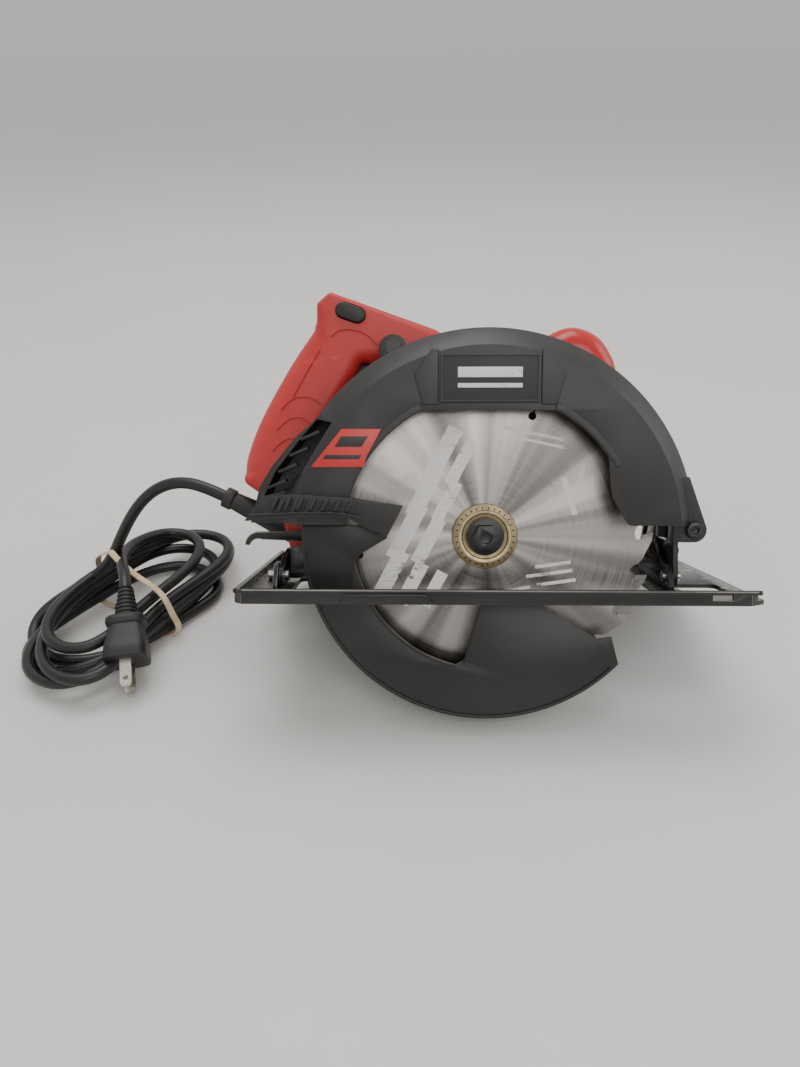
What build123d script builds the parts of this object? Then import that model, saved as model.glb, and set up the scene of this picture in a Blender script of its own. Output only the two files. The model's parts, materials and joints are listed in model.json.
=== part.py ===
from build123d import *
import math
import os

os.makedirs("parts", exist_ok=True)

# A 184 mm circular saw with the blade on the right of the motor, lying as it is put down on a bench:
# it leans back on the rim of its lower guard and the foot of its motor cap. Every piece is drawn with
# the saw upright, X forward, Y from the blade to the motor, Z up, zero at the arbor in the middle of
# the blade. stand() then leans it back and sets it on the bench. Millimetres.

# blade and arbor
blade_r = 92.0
teeth = 24
tooth_pitch = 360 / teeth
plate_half = 0.6
tip_half = 0.9
bore_r = 7.94
flange_r = 18.0
flange_t = 4.0
arbor_r = 6.0
expansion_r = 70.0

# reduction gears
module = 1.0
gear_teeth = 45
pinion_teeth = 9
motor_x = -10.0
motor_z = math.sqrt((module * (gear_teeth + pinion_teeth) / 2) ** 2 - motor_x**2)

# guards
upper_r = 111.0
upper_face_r = 101.0
upper_near = -23.0
upper_chamfer = -12.0
upper_far = 18.0
upper_wall = 3.0
window_r = 76.0
window_top = 67.7
guard_bottom = 8.0
lower_r = 99.0
lower_wall = 2.5
lower_near = -16.0
lower_far = 13.0
lower_front = -43.5
lower_rear = 176.0
hub_r = 23.5

# base
base_bottom = -31.5
sheet = 2.5
flange_top = -24.0
base_near = -37.0
base_far = 119.0
base_rear = -132.0
base_front = 141.0
slot_near = -20.0
slot_far = 31.5
slot_rear = -106.0
slot_front = 93.0
pivot_x = 109.5
pivot_z = 5.0
bevel_y = -1.5
bevel_z = -22.0
arc_r = 180.0
bolt_angle = 183.0

# motor
motor_r = 46.0
motor_wall = 3.5
motor_near = 44.0
motor_split = 165.0
cap_end = 197.0
shaft_r = 5.0

# handle
grip_near = 26.0
grip_mid = 44.0
grip_far = 62.0
button_at = (-75.5, 124.5)

# cord
cord_d = 7.2
run = 0.03

# how it lies
lean = 25.0
guard_low = lower_r * math.cos(math.radians(lean)) + lower_far * math.sin(math.radians(lean))
cap_foot = (cap_end * math.sin(math.radians(lean)) - guard_low) / math.cos(math.radians(lean))
middle_x = 0.75
middle_y = 76.12


def side(y):
    """The plane across the saw at y: its X is forward and its Y is up."""
    return Plane(origin=(0, y, 0), x_dir=(1, 0, 0), z_dir=(0, -1, 0))


def across(x):
    """The plane across the saw's length at x: its X is the saw's Y and its Y is up."""
    return Plane.YZ.offset(x)


def stand():
    """Leans a piece back about the arbor and sets it on the bench."""
    return Location((-middle_x, -middle_y, guard_low), (-lean, 0, 0))


def at(r, degrees, x=0.0, z=0.0):
    """A point at radius r and angle degrees, anticlockwise from forward, about x, z."""
    turn = math.radians(degrees)
    return (x + r * math.cos(turn), z + r * math.sin(turn))


def bent_slot(r, start, sweep_by, width, x=0.0, z=0.0):
    """A slot along an arc of radius r about x, z, from the angle start, with round ends."""
    half = width / 2
    middle = start + sweep_by / 2
    end = start + sweep_by
    cap = math.degrees(half / r)
    with BuildSketch() as made:
        with BuildLine():
            ThreePointArc(at(r + half, start, x, z), at(r + half, middle, x, z), at(r + half, end, x, z))
            ThreePointArc(at(r + half, end, x, z), at(r, end + cap, x, z), at(r - half, end, x, z))
            ThreePointArc(at(r - half, end, x, z), at(r - half, middle, x, z), at(r - half, start, x, z))
            ThreePointArc(at(r - half, start, x, z), at(r, start - cap, x, z), at(r + half, start, x, z))
        make_face()
    return made.sketch


def write(piece, node, lies=True):
    solid = piece.part.moved(stand()) if lies else piece.part
    solid.label = node
    export_step(solid, f"parts/{node}.step")


def ring(y0, y1, r_out, r_in, x=0.0, z=0.0):
    """A plain ring about an axis along Y."""
    with BuildPart() as made:
        with BuildSketch(side(y0)):
            with Locations((x, z)):
                Circle(r_out)
                if r_in:
                    Circle(r_in, mode=Mode.SUBTRACT)
        extrude(amount=y0 - y1)
    return made


# ---------- blade ----------
with BuildSketch() as gullet:
    with BuildLine():
        Polyline(at(blade_r + 2, -0.2), at(blade_r - 1.6, -0.2), at(blade_r - 8.0, -1.6))
        ThreePointArc(at(blade_r - 8.0, -1.6), at(blade_r - 9.6, 1.2), at(blade_r - 6.0, 4.6))
        Polyline(
            at(blade_r - 6.0, 4.6), at(blade_r - 4.2, 6.4), at(blade_r - 0.2, tooth_pitch - 1.6),
            at(blade_r + 2, tooth_pitch - 0.4), at(blade_r + 2, -0.2),
        )
    make_face()

with BuildPart() as blade:
    with BuildSketch(side(-plate_half)):
        Circle(blade_r)
        Circle(bore_r, mode=Mode.SUBTRACT)
        with PolarLocations(0, teeth):
            add(gullet.sketch, mode=Mode.SUBTRACT)
        with PolarLocations(0, 3, start_angle=69):
            with Locations((expansion_r, 0)):
                Circle(2.2, mode=Mode.SUBTRACT)
            with Locations((expansion_r + 8, 0)):
                Rectangle(17, 1.1, mode=Mode.SUBTRACT)
    extrude(amount=-2 * plate_half)
write(blade, "blade")

with BuildSketch() as tip:
    with BuildLine():
        Polyline(
            at(blade_r, -0.15), at(blade_r - 1.6, -0.2), at(blade_r - 6.0, -1.16),
            at(blade_r - 5.8, 0.1), at(blade_r + 0.3, 1.5), at(blade_r, -0.15),
        )
    make_face()

with BuildPart() as carbide_tips:
    with BuildSketch(side(-tip_half)):
        with PolarLocations(0, teeth):
            add(tip.sketch)
    extrude(amount=-2 * tip_half)
write(carbide_tips, "carbide_tips")

with BuildPart() as outer_flange:
    with BuildSketch(side(-plate_half - flange_t)):
        Circle(flange_r)
        Circle(arbor_r + run, mode=Mode.SUBTRACT)
    extrude(amount=-flange_t)
    near_edges = outer_flange.edges().filter_by(GeomType.CIRCLE).group_by(Axis.Y)[0]
    chamfer(near_edges.sort_by(SortBy.RADIUS)[-1], 1.4)
write(outer_flange, "outer_flange")

with BuildPart() as inner_flange:
    with BuildSketch(side(plate_half)):
        Circle(flange_r)
        Circle(arbor_r + run, mode=Mode.SUBTRACT)
    extrude(amount=-flange_t)
    with BuildSketch(side(-plate_half + run)):
        Circle(bore_r - run)
        Circle(arbor_r + run, mode=Mode.SUBTRACT)
    extrude(amount=-2 * plate_half)
write(inner_flange, "inner_flange")

bolt_seat = -plate_half - flange_t
with BuildPart() as blade_bolt:
    with BuildSketch(side(bolt_seat - 2.0)):
        Circle(10)
    extrude(amount=-2.0)
    with BuildSketch(side(bolt_seat - 7.5)):
        RegularPolygon(6.5, 6, major_radius=False)
    extrude(amount=-5.5)
    with BuildSketch(side(bolt_seat)):
        Circle(3.9)
    extrude(amount=-16)
    with BuildSketch(side(bolt_seat - 7.5)):
        Circle(3.2)
    extrude(amount=-3, mode=Mode.SUBTRACT)
write(blade_bolt, "blade_bolt")

with BuildPart() as arbor_shaft:
    with BuildSketch(side(bolt_seat)):
        Circle(arbor_r)
    extrude(amount=bolt_seat - 31.5)
    with BuildSketch(side(31.5)):
        Circle(shaft_r)
    extrude(amount=-8)
    with BuildSketch(side(bolt_seat)):
        Circle(3.9 + run)
    extrude(amount=-18, mode=Mode.SUBTRACT)
write(arbor_shaft, "arbor_shaft")


# The wheel has a gap and the pinion a tooth on the line between their centres.
centre_line = math.degrees(math.atan2(motor_z, motor_x))
with BuildPart() as arbor_gear:
    with BuildSketch(side(21.5)):
        Circle(21.2)
        with PolarLocations(0, gear_teeth, start_angle=centre_line + 180 / gear_teeth):
            Polygon((20.2, -0.85), (23.2, -0.42), (23.2, 0.42), (20.2, 0.85), align=None)
        Circle(arbor_r + run, mode=Mode.SUBTRACT)
    extrude(amount=-9.7)
write(arbor_gear, "arbor_gear")

arbor_bearing = ring(8.0, 17.0, 16.0 - run, arbor_r + run)
write(arbor_bearing, "arbor_bearing")
arbor_bush = ring(33.0, 40.0, 8.0 - run, shaft_r + run)
write(arbor_bush, "arbor_bush")

# ---------- armature ----------
with BuildPart() as armature_shaft:
    with BuildSketch(side(21.5)):
        with Locations((motor_x, motor_z)):
            Circle(3.2)
            with PolarLocations(0, pinion_teeth, start_angle=centre_line + 180):
                Polygon((2.2, -0.7), (5.3, -0.38), (5.3, 0.38), (2.2, 0.7), align=None)
    extrude(amount=-11.5)
    with BuildSketch(side(33.0)):
        with Locations((motor_x, motor_z)):
            Circle(shaft_r)
    extrude(amount=-154)
write(armature_shaft, "armature_shaft")

with BuildPart() as fan:
    with BuildSketch(side(50)):
        with Locations((motor_x, motor_z)):
            Circle(37)
            Circle(shaft_r + run, mode=Mode.SUBTRACT)
    extrude(amount=-2)
    with BuildSketch(side(52)):
        with Locations((motor_x, motor_z)):
            Circle(11)
            Circle(shaft_r + run, mode=Mode.SUBTRACT)
            with PolarLocations(22, 14):
                Rectangle(26, 1.6, rotation=20)
    extrude(amount=-8)
write(fan, "fan")

with BuildPart() as armature_core:
    with BuildSketch(side(75)):
        with Locations((motor_x, motor_z)):
            Circle(24)
            Circle(shaft_r + run, mode=Mode.SUBTRACT)
            with PolarLocations(21, 12):
                Rectangle(7, 3, mode=Mode.SUBTRACT)
    extrude(amount=-50)
write(armature_core, "armature_core")

with BuildPart() as armature_windings:
    for start in (66, 125):
        with BuildSketch(side(start)):
            with Locations((motor_x, motor_z)):
                Circle(22)
                Circle(8, mode=Mode.SUBTRACT)
        extrude(amount=-9)
    for end in (0, -1):
        rounds = armature_windings.edges().filter_by(GeomType.CIRCLE).filter_by(lambda e: e.radius > 20)
        fillet(rounds.group_by(Axis.Y)[end], 4)
write(armature_windings, "armature_windings")

with BuildPart() as commutator:
    with BuildSketch(side(138)):
        with Locations((motor_x, motor_z)):
            Circle(12.5)
            Circle(shaft_r + run, mode=Mode.SUBTRACT)
            with PolarLocations(12.0, 24):
                Rectangle(2.4, 0.5, mode=Mode.SUBTRACT)
    extrude(amount=-14)
write(commutator, "commutator")

write(ring(35.0, 43.0, 11 - run, shaft_r + run, motor_x, motor_z), "front_bearing")
write(ring(172.0, 180.0, 11 - run, shaft_r + run, motor_x, motor_z), "rear_bearing")

# ---------- field and brushes ----------
with BuildPart() as field_core:
    with BuildSketch(side(75)):
        with Locations((motor_x, motor_z)):
            Circle(motor_r - motor_wall - 0.2)
            Circle(25, mode=Mode.SUBTRACT)
            with Locations((31.5, 0), (-31.5, 0)):
                Rectangle(9, 36, mode=Mode.SUBTRACT)
    extrude(amount=-50)
write(field_core, "field_core")

with BuildPart() as field_coils:
    with BuildSketch(side(68)):
        with Locations((motor_x, motor_z)):
            with Locations((31.5, 0), (-31.5, 0)):
                RectangleRounded(8.4, 35, 3)
    extrude(amount=-64)
write(field_coils, "field_coils")

with BuildPart() as carbon_brushes:
    with BuildSketch(side(141)):
        with Locations((motor_x, motor_z)):
            with Locations((20.6, 0), (-20.6, 0)):
                Rectangle(16, 6)
    extrude(amount=-8)
write(carbon_brushes, "carbon_brushes")

with BuildPart() as brush_holders:
    with BuildSketch(side(139)):
        with Locations((motor_x, motor_z)):
            with Locations((28, 0), (-28, 0)):
                Rectangle(28, 10)
                Rectangle(29, 6.1, mode=Mode.SUBTRACT)
    extrude(amount=-12)
    for end in (139, 149.2):
        with BuildSketch(side(end)):
            with Locations((motor_x, motor_z)):
                with Locations((28, 0), (-28, 0)):
                    Rectangle(28, 10)
        extrude(amount=-1.8)
write(brush_holders, "brush_holders")

# ---------- motor housing ----------
with BuildPart() as motor_housing:
    with BuildSketch(side(motor_near)):
        with Locations((motor_x, motor_z)):
            Circle(motor_r)
            Circle(motor_r - motor_wall, mode=Mode.SUBTRACT)
    extrude(amount=motor_near - motor_split)
    # round bosses for the two brush caps
    for turn in (0, 180):
        boss = Plane(
            origin=(motor_x + (motor_r - 3) * math.cos(math.radians(turn)), 145, motor_z),
            z_dir=(math.cos(math.radians(turn)), 0, 0),
        )
        with BuildSketch(boss):
            Circle(9)
        extrude(amount=5)
        with BuildSketch(boss.offset(-4)):
            Circle(7.1)
        extrude(amount=10, mode=Mode.SUBTRACT)
write(motor_housing, "motor_housing")

with BuildPart() as brush_caps:
    for turn in (0, 180):
        out = math.cos(math.radians(turn))
        seat = Plane(origin=(motor_x + (motor_r - 3.8) * out, 145, motor_z), z_dir=(out, 0, 0))
        with BuildSketch(seat):
            Circle(7)
        extrude(amount=5)
        with BuildSketch(seat.offset(5)):
            Rectangle(1.6, 9)
        extrude(amount=-1.5, mode=Mode.SUBTRACT)
write(brush_caps, "brush_caps")

with BuildPart() as motor_end_cap:
    with BuildSketch(side(motor_split)):
        with Locations((motor_x, motor_z)):
            Circle(motor_r)
            with Locations((0, -31)):
                Rectangle(52, 32)
        with Locations((motor_x, cap_foot - 50)):
            Rectangle(200, 100, mode=Mode.SUBTRACT)
    extrude(amount=motor_split - cap_end)
    with BuildSketch(side(motor_split)):
        with Locations((motor_x, motor_z)):
            Circle(motor_r - motor_wall)
        with Locations((motor_x, cap_foot + 3 - 50)):
            Rectangle(200, 100, mode=Mode.SUBTRACT)
    extrude(amount=motor_split - cap_end + 4, mode=Mode.SUBTRACT)
    with BuildSketch(side(170)):
        with Locations((motor_x, motor_z)):
            Circle(14)
    extrude(amount=-25)
    with BuildSketch(side(169)):
        with Locations((motor_x, motor_z)):
            Circle(11)
    extrude(amount=-20, mode=Mode.SUBTRACT)
    # cooling slots through the end
    with BuildSketch(side(cap_end + 1)):
        with Locations((motor_x, motor_z)):
            with PolarLocations(26, 9, start_angle=10):
                SlotCenterToCenter(15, 4)
    extrude(amount=10, mode=Mode.SUBTRACT)
write(motor_end_cap, "motor_end_cap")

with BuildPart() as cap_screws:
    with BuildSketch(side(cap_end)):
        with Locations((motor_x, motor_z)):
            with PolarLocations(37.5, 3, start_angle=90):
                Circle(3.4)
    extrude(amount=-2.2)
write(cap_screws, "cap_screws")

# ---------- gear housing ----------
with BuildPart() as gear_housing:
    with BuildSketch(side(upper_far)):
        Circle(27)
        with Locations((motor_x, motor_z)):
            Circle(motor_r + 1)
    extrude(amount=upper_far - 32)
    with BuildSketch(side(5.8)):
        Circle(hub_r)
    extrude(amount=5.8 - upper_far)
    # collar for the spindle lock
    with BuildSketch(across(20)):
        with Locations((26, -4)):
            Circle(5.9)
    extrude(amount=13)
    for r, y0, y1 in ((9, 5, 21), (16, 8, 21), (24.3, 20.8, 32)):
        with BuildSketch(side(y0)):
            Circle(r)
        extrude(amount=y0 - y1, mode=Mode.SUBTRACT)
    with BuildSketch(side(20.8)):
        with Locations((motor_x, motor_z)):
            Circle(7)
    extrude(amount=-12, mode=Mode.SUBTRACT)
    for r, x0, x1 in ((2.6, 20, 34), (4.7, 28.4, 34)):
        with BuildSketch(across(x0)):
            with Locations((26, -4)):
                Circle(r)
        extrude(amount=x1 - x0, mode=Mode.SUBTRACT)
write(gear_housing, "gear_housing")

with BuildPart() as gear_cover:
    with BuildSketch(side(32)):
        Circle(27)
        with Locations((motor_x, motor_z)):
            Circle(motor_r + 1)
    extrude(amount=-12)
    for r, y0, y1 in ((6.2, 31, 35), (8, 33, 41)):
        with BuildSketch(side(y0)):
            Circle(r)
        extrude(amount=y0 - y1, mode=Mode.SUBTRACT)
    for r, y0, y1 in ((6.5, 31, 45), (11, 35, 45)):
        with BuildSketch(side(y0)):
            with Locations((motor_x, motor_z)):
                Circle(r)
        extrude(amount=y0 - y1, mode=Mode.SUBTRACT)
write(gear_cover, "gear_cover")

# ---------- upper guard ----------
with BuildPart() as upper_guard:
    with BuildSketch(Plane.XY):
        Polygon(
            (60, upper_near), (upper_face_r, upper_near), (upper_r, upper_chamfer), (upper_r, upper_far),
            (31, upper_far), (31, upper_far - upper_wall), (upper_r - upper_wall, upper_far - upper_wall),
            (upper_r - upper_wall, upper_chamfer + 1.2), (upper_face_r - 1.4, upper_near + upper_wall),
            (60, upper_near + upper_wall), align=None,
        )
    revolve(axis=Axis.Y)
    with BuildSketch(Plane.XY.offset(guard_bottom)):
        Rectangle(300, 300)
    extrude(amount=-150, mode=Mode.SUBTRACT)
    # the window in the near face, with its flat top
    edge_x = math.sqrt(window_r**2 - window_top**2)
    with BuildSketch(side(upper_near - 1)):
        with BuildLine():
            Polyline((-window_r, 0), (-window_r, 0.5))
            ThreePointArc((-window_r, 0.5), at(window_r, 150), (-edge_x, window_top))
            Line((-edge_x, window_top), (edge_x, window_top))
            ThreePointArc((edge_x, window_top), at(window_r, 48), at(window_r, 35))
            Polyline(at(window_r, 35), (64.8, 22.6), (73.5, guard_bottom), (73.5, 0), (-window_r, 0))
        make_face()
    extrude(amount=-7, mode=Mode.SUBTRACT)
    # dust chute: a bulge at the rear, open on the near side
    with BuildSketch(side(upper_chamfer)):
        with BuildLine():
            Polyline(at(upper_r - 1, 143), (-102, 54), (-115, 38.5), (-122, 27))
            Polyline((-122, 27), (-127, guard_bottom), (-104, guard_bottom), at(upper_r - 1, 143))
        make_face()
    extrude(amount=upper_chamfer - upper_far)
    with BuildSketch(side(upper_near - 1)):
        Polygon(
            (-90.5, 63.5), (-81.5, 61.5), (-103.5, 27), (-119.5, 22.5), (-113, 36), (-100, 52.5),
            align=None,
        )
    extrude(amount=upper_near - 1 - (upper_far - upper_wall), mode=Mode.SUBTRACT)
    # ears for the depth pivot, and the strut that carries the near one
    for y0, y1 in ((-16.0, -6.6), (8.2, 16.0)):
        with BuildSketch(side(y0)):
            with Locations((pivot_x, pivot_z)):
                Circle(6.5)
            Polygon((98.6, -1.5), (pivot_x, -1.5), (pivot_x, 11.5), (98.6, 11.5), align=None)
            Polygon((115.6, 7.2), (106, 33), (99, 33), (98.6, 11), (108, 11), align=None)
        extrude(amount=y0 - y1)
    with BuildSketch(side(-20)):
        with Locations((pivot_x, pivot_z)):
            Circle(3.2)
    extrude(amount=-40, mode=Mode.SUBTRACT)
    with BuildSketch(side(upper_near)):
        with Locations((pivot_x, pivot_z)):
            Circle(5.2)
    extrude(amount=upper_near + 16, mode=Mode.SUBTRACT)
    # room for the bracket between the ears
    with BuildSketch(side(-6.5)):
        Polygon((101, 0), (120, 0), (120, 13.5), (101, 13.5), align=None)
    extrude(amount=-14.6, mode=Mode.SUBTRACT)
    # lug for the depth lock bolt, and the lug beside the handle
    lock = at(arc_r, bolt_angle, pivot_x, pivot_z)
    with BuildSketch(side(upper_far - upper_wall)):
        with Locations(lock):
            Circle(9)
        Polygon((-82, 10), (-79.2, -5), (-61.2, -5), (-58, 10), align=None)
        with Locations((-51, 103)):
            Circle(8)
    extrude(amount=-upper_wall)
    with BuildSketch(side(10)):
        with Locations(lock):
            Circle(3.2)
        with Locations((-51, 104)):
            Circle(2.2)
    extrude(amount=-10, mode=Mode.SUBTRACT)
    fillet(upper_guard.edges().filter_by(Axis.Y).filter_by_position(Axis.X, 73, 74), 2.5)
write(upper_guard, "upper_guard")

with BuildPart() as guard_badge:
    with BuildSketch(side(upper_near - 1.8)):
        with Locations((0, 84)):
            RectangleRounded(51, 24.6, 1.5)
    extrude(amount=-1.8)
    chamfer(guard_badge.faces().sort_by(Axis.Y)[0].edges(), 0.6)
write(guard_badge, "guard_badge")

with BuildPart() as rating_label:
    with BuildSketch(side(upper_near - 0.4)):
        Polygon((-75.5, 57.6), (-57.5, 57.6), (-65.2, 43.6), (-66.6, 39.2), (-90.5, 38.2), align=None)
    extrude(amount=-0.4)
write(rating_label, "rating_label")

# ---------- lower guard ----------
with BuildPart() as lower_guard:
    # rim and far wall, from the front lip clockwise to the rear
    with BuildSketch(side(lower_near)):
        with BuildLine():
            front = at(lower_r, lower_front)
            back = at(lower_r, lower_rear)
            ThreePointArc(front, at(lower_r, -110), back)
            Line(back, at(lower_r - lower_wall, lower_rear))
            ThreePointArc(
                at(lower_r - lower_wall, lower_rear), at(lower_r - lower_wall, -110),
                at(lower_r - lower_wall, lower_front),
            )
            Line(at(lower_r - lower_wall, lower_front), front)
        make_face()
    extrude(amount=lower_near - lower_far)
    with BuildSketch(side(lower_far - lower_wall)):
        with BuildLine():
            ThreePointArc(front, at(lower_r, -110), back)
            Line(back, at(26, 150))
            ThreePointArc(at(26, 150), at(26, 50), at(26, -20))
            Line(at(26, -20), front)
        make_face()
        Circle(hub_r + 0.3, mode=Mode.SUBTRACT)
    extrude(amount=-lower_wall)
    with BuildSketch(side(6)):
        Circle(27)
        Circle(hub_r + 0.3, mode=Mode.SUBTRACT)
    extrude(amount=-8.5)
    # near wall: the front lobe, the leg and the rear web round the window
    with BuildSketch(side(lower_near)):
        with BuildLine():
            ThreePointArc(front, at(lower_r, -110), back)
            Polyline(back, (-53, 7), (-53.3, 0.3), (-67, -8), (-70.5, -12.5))
            ThreePointArc((-70.5, -12.5), (-68.5, -20), at(71, -157))
            ThreePointArc(at(71, -157), at(71, -128), at(71, -103))
            Polyline(at(71, -103), (-11.4, -66.8), (-2, -31), (27, -34), (60, -54.4), (67.7, -53.2), front)
        make_face()
    extrude(amount=-lower_wall)
write(lower_guard, "lower_guard")

lever_near = -31.0
lever_t = 4.4
with BuildPart() as lift_lever:
    with BuildSketch(side(lever_near)):
        with BuildLine():
            Polyline((-126.5, 10.8), (-122, 17), (-113, 23.5), (-100, 24.6), (-70, 22.6))
            Polyline((-70, 22.6), (-44.5, 18.6), (-52.6, 3.2), (-62, 6.5), (-72, 12), (-84, 13.4))
            Polyline((-84, 13.4), (-104, 12.2), (-126.5, 10.8))
        make_face()
    extrude(amount=-lever_t)
    # finger ribs along the lever
    with BuildSketch(side(lever_near - 1.6)):
        for k in range(6):
            with Locations((-108 + 7.5 * k, 18)):
                Rectangle(2.4, 7.5, rotation=-25)
    extrude(amount=-1.6)
    # stem through to the near wall of the lower guard
    with BuildSketch(side(lever_near + lever_t)):
        Polygon((-63, 7.2), (-63, 12.5), (-54, 11), (-54, 4.6), align=None)
    extrude(amount=lever_near + lever_t - lower_near)
write(lift_lever, "lift_lever")

with BuildPart() as guard_spring:
    with BuildSketch(side(6.8)):
        Circle(30.6)
        Circle(28.2, mode=Mode.SUBTRACT)
        with Locations(at(32, 100)):
            Rectangle(2, 5, rotation=10)
    extrude(amount=-3.2)
write(guard_spring, "guard_spring")

write(ring(5.0, 5.8, 25.4, 12.0), "guard_retainer")

# ---------- spindle lock ----------
with BuildPart() as spindle_lock:
    with BuildSketch(across(31.6)):
        with Locations((26, -4)):
            Circle(4.5)
    extrude(amount=6)
    with BuildSketch(across(26.4)):
        with Locations((26, -4)):
            Circle(2.4)
    extrude(amount=6)
write(spindle_lock, "spindle_lock")

# ---------- handle ----------
def handle_outline():
    """The D of the rear handle, round the finger gap, up against the motor."""
    hug = motor_r + 1.6
    with BuildLine() as outline:
        Polyline((-87.3, 136.5), (-94.9, 130.3), (-95.6, 119.5))
        Spline((-95.6, 119.5), (-112, 94.6), (-129, 65), (-137.5, 44), (-139.5, 30))
        Polyline((-139.5, 30), (-133, 24.6), (-119, 13), (-112, -14), (-58, -18))
        Line((-58, -18), at(hug, 222, motor_x, motor_z))
        ThreePointArc(
            at(hug, 222, motor_x, motor_z), at(hug, 160, motor_x, motor_z),
            at(hug, 84, motor_x, motor_z),
        )
        Polyline(at(hug, 84, motor_x, motor_z), (-7, 100), (-26, 115.5), (-87.3, 136.5))
    return outline.line


def gap_outline():
    """The finger gap of the rear handle."""
    with BuildLine() as outline:
        Polyline((-52, 96), (-70, 97))
        Spline((-70, 97), (-82, 74), (-97, 50), (-101, 36))
        Polyline((-101, 36), (-94, 26), (-66, 26))
        ThreePointArc((-66, 26), (-63, 56), (-52, 96))
    return outline.line


def handle_shell(y0, y1, inner0, inner1):
    """One half of the handle, with a hollow from inner0 to inner1."""
    with BuildPart() as made:
        with BuildSketch(side(y0)):
            make_face(handle_outline().edges())
            make_face(gap_outline().edges(), mode=Mode.SUBTRACT)
        extrude(amount=y0 - y1)
        # hollow of the grip and the upper arm, for the switch and the trigger
        with BuildSketch(side(inner0)):
            Polygon(
                (-84, 128), (-89, 119), (-104, 96), (-112, 78), (-103, 72), (-90, 90), (-78, 103),
                (-50, 101), (-50, 112), align=None,
            )
        extrude(amount=inner0 - inner1, mode=Mode.SUBTRACT)
        # slot where the trigger comes out into the finger gap
        with BuildSketch(side(36)):
            Polygon((-95, 86), (-86, 64), (-58, 88), (-58, 105), (-80, 107), align=None)
        extrude(amount=-16, mode=Mode.SUBTRACT)
    return made


with BuildPart() as handle_near_half:
    add(handle_shell(grip_near, grip_mid, grip_near + 4, grip_mid).part)
    with BuildSketch(side(grip_near - 1)):
        with Locations(button_at):
            SlotCenterToCenter(9.4, 9.4, rotation=-20)
    extrude(amount=-9, mode=Mode.SUBTRACT)
    outer = handle_near_half.faces().sort_by(Axis.Y)[0].outer_wire().edges()
    chamfer(outer.filter_by(lambda e: e.center().X < -60), 5)
write(handle_near_half, "handle_near_half")

with BuildPart() as handle_far_half:
    add(handle_shell(grip_mid, grip_far, grip_mid, grip_far - 4).part)
    outer = handle_far_half.faces().sort_by(Axis.Y)[-1].outer_wire().edges()
    chamfer(outer.filter_by(lambda e: e.center().X < -60), 5)
write(handle_far_half, "handle_far_half")

with BuildPart() as trigger:
    with BuildSketch(side(37)):
        with BuildLine():
            Polyline((-69, 101), (-74, 101.5), (-88, 82), (-83, 76), (-78.5, 77))
            ThreePointArc((-78.5, 77), (-66.5, 88), (-63.5, 97))
            Line((-63.5, 97), (-69, 101))
        make_face()
    extrude(amount=-14)
write(trigger, "trigger")

with BuildPart() as lock_off_button:
    with BuildSketch(side(grip_near - 2.5)):
        with Locations(button_at):
            SlotCenterToCenter(9, 8.6, rotation=-20)
    extrude(amount=-6)
write(lock_off_button, "lock_off_button")

with BuildPart() as trigger_switch:
    with BuildSketch(side(34)):
        Polygon((-92.5, 109), (-105.5, 90), (-97.5, 84), (-84, 102), align=None)
    extrude(amount=-20)
write(trigger_switch, "trigger_switch")

with BuildPart() as handle_screws:
    with BuildSketch(side(grip_far)):
        with Locations((-84, 131), (-30, 108), (-128, 44), (-104, 2), (-64, -8)):
            Circle(3.2)
    extrude(amount=-1.2)
write(handle_screws, "handle_screws")

# ---------- front handle ----------
with BuildPart() as front_handle:
    with BuildSketch(side(40)):
        with BuildLine():
            Polyline(at(motor_r + 1.6, 60, motor_x, motor_z), (24, 96))
            Spline((24, 96), (38, 113), (54, 119.5), (70, 114), (80, 100), (83, 86))
            Spline((83, 86), (78, 74), (62, 68), (46, 56))
            Line((46, 56), at(motor_r + 1.6, 12, motor_x, motor_z))
            ThreePointArc(
                at(motor_r + 1.6, 12, motor_x, motor_z), at(motor_r + 1.6, 36, motor_x, motor_z),
                at(motor_r + 1.6, 60, motor_x, motor_z),
            )
        make_face()
    extrude(amount=-36)
    rim = front_handle.faces().filter_by(Axis.Y).edges()
    fillet(rim.filter_by(lambda e: e.center().Z > 66), 11)
write(front_handle, "front_handle")

# ---------- base plate ----------
sheet_top = base_bottom + sheet
with BuildPart() as base_plate:
    with BuildSketch(Plane.XY.offset(base_bottom)):
        with BuildLine():
            Polyline(
                (base_rear, base_near + 4), (base_rear + 4, base_near), (base_front - 8, base_near),
                (base_front, base_near + 5), (base_front, base_far - 14), (base_front - 12, base_far),
                (base_rear + 16, base_far), (base_rear, base_far - 16), (base_rear, base_near + 4),
            )
        make_face()
    extrude(amount=flange_top - base_bottom)
    # tray inside the turned-up edges; the front edge stays low
    with BuildSketch(Plane.XY.offset(sheet_top)):
        Polygon(
            (base_rear + 2.5, base_near + 2.5), (base_front + 5, base_near + 2.5),
            (base_front + 5, base_far - 2.5), (base_rear + 17, base_far - 2.5),
            (base_rear + 2.5, base_far - 17), align=None,
        )
    extrude(amount=20, mode=Mode.SUBTRACT)
    # slot for the blade and the lower guard
    with BuildSketch(Plane.XY.offset(base_bottom)):
        with Locations(((slot_front + slot_rear) / 2, (slot_near + slot_far) / 2)):
            RectangleRounded(slot_front - slot_rear, slot_far - slot_near, 6)
        # line-of-cut notch and lightening holes
        with Locations((119.5, 1.5)):
            RectangleRounded(25, 25, 5)
        with Locations((-20, 78)):
            RectangleRounded(120, 34, 8)
        with Locations((-124, 62)):
            RectangleRounded(9, 26, 3)
    extrude(amount=sheet, mode=Mode.SUBTRACT)
    # slot for a rip fence through both turned-up edges
    with BuildSketch(Plane.XZ.offset(-base_far - 5)):
        with Locations((118.5, sheet_top + 1.9)):
            Rectangle(10.6, 3.4)
    extrude(amount=200, mode=Mode.SUBTRACT)
write(base_plate, "base_plate")


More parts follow.
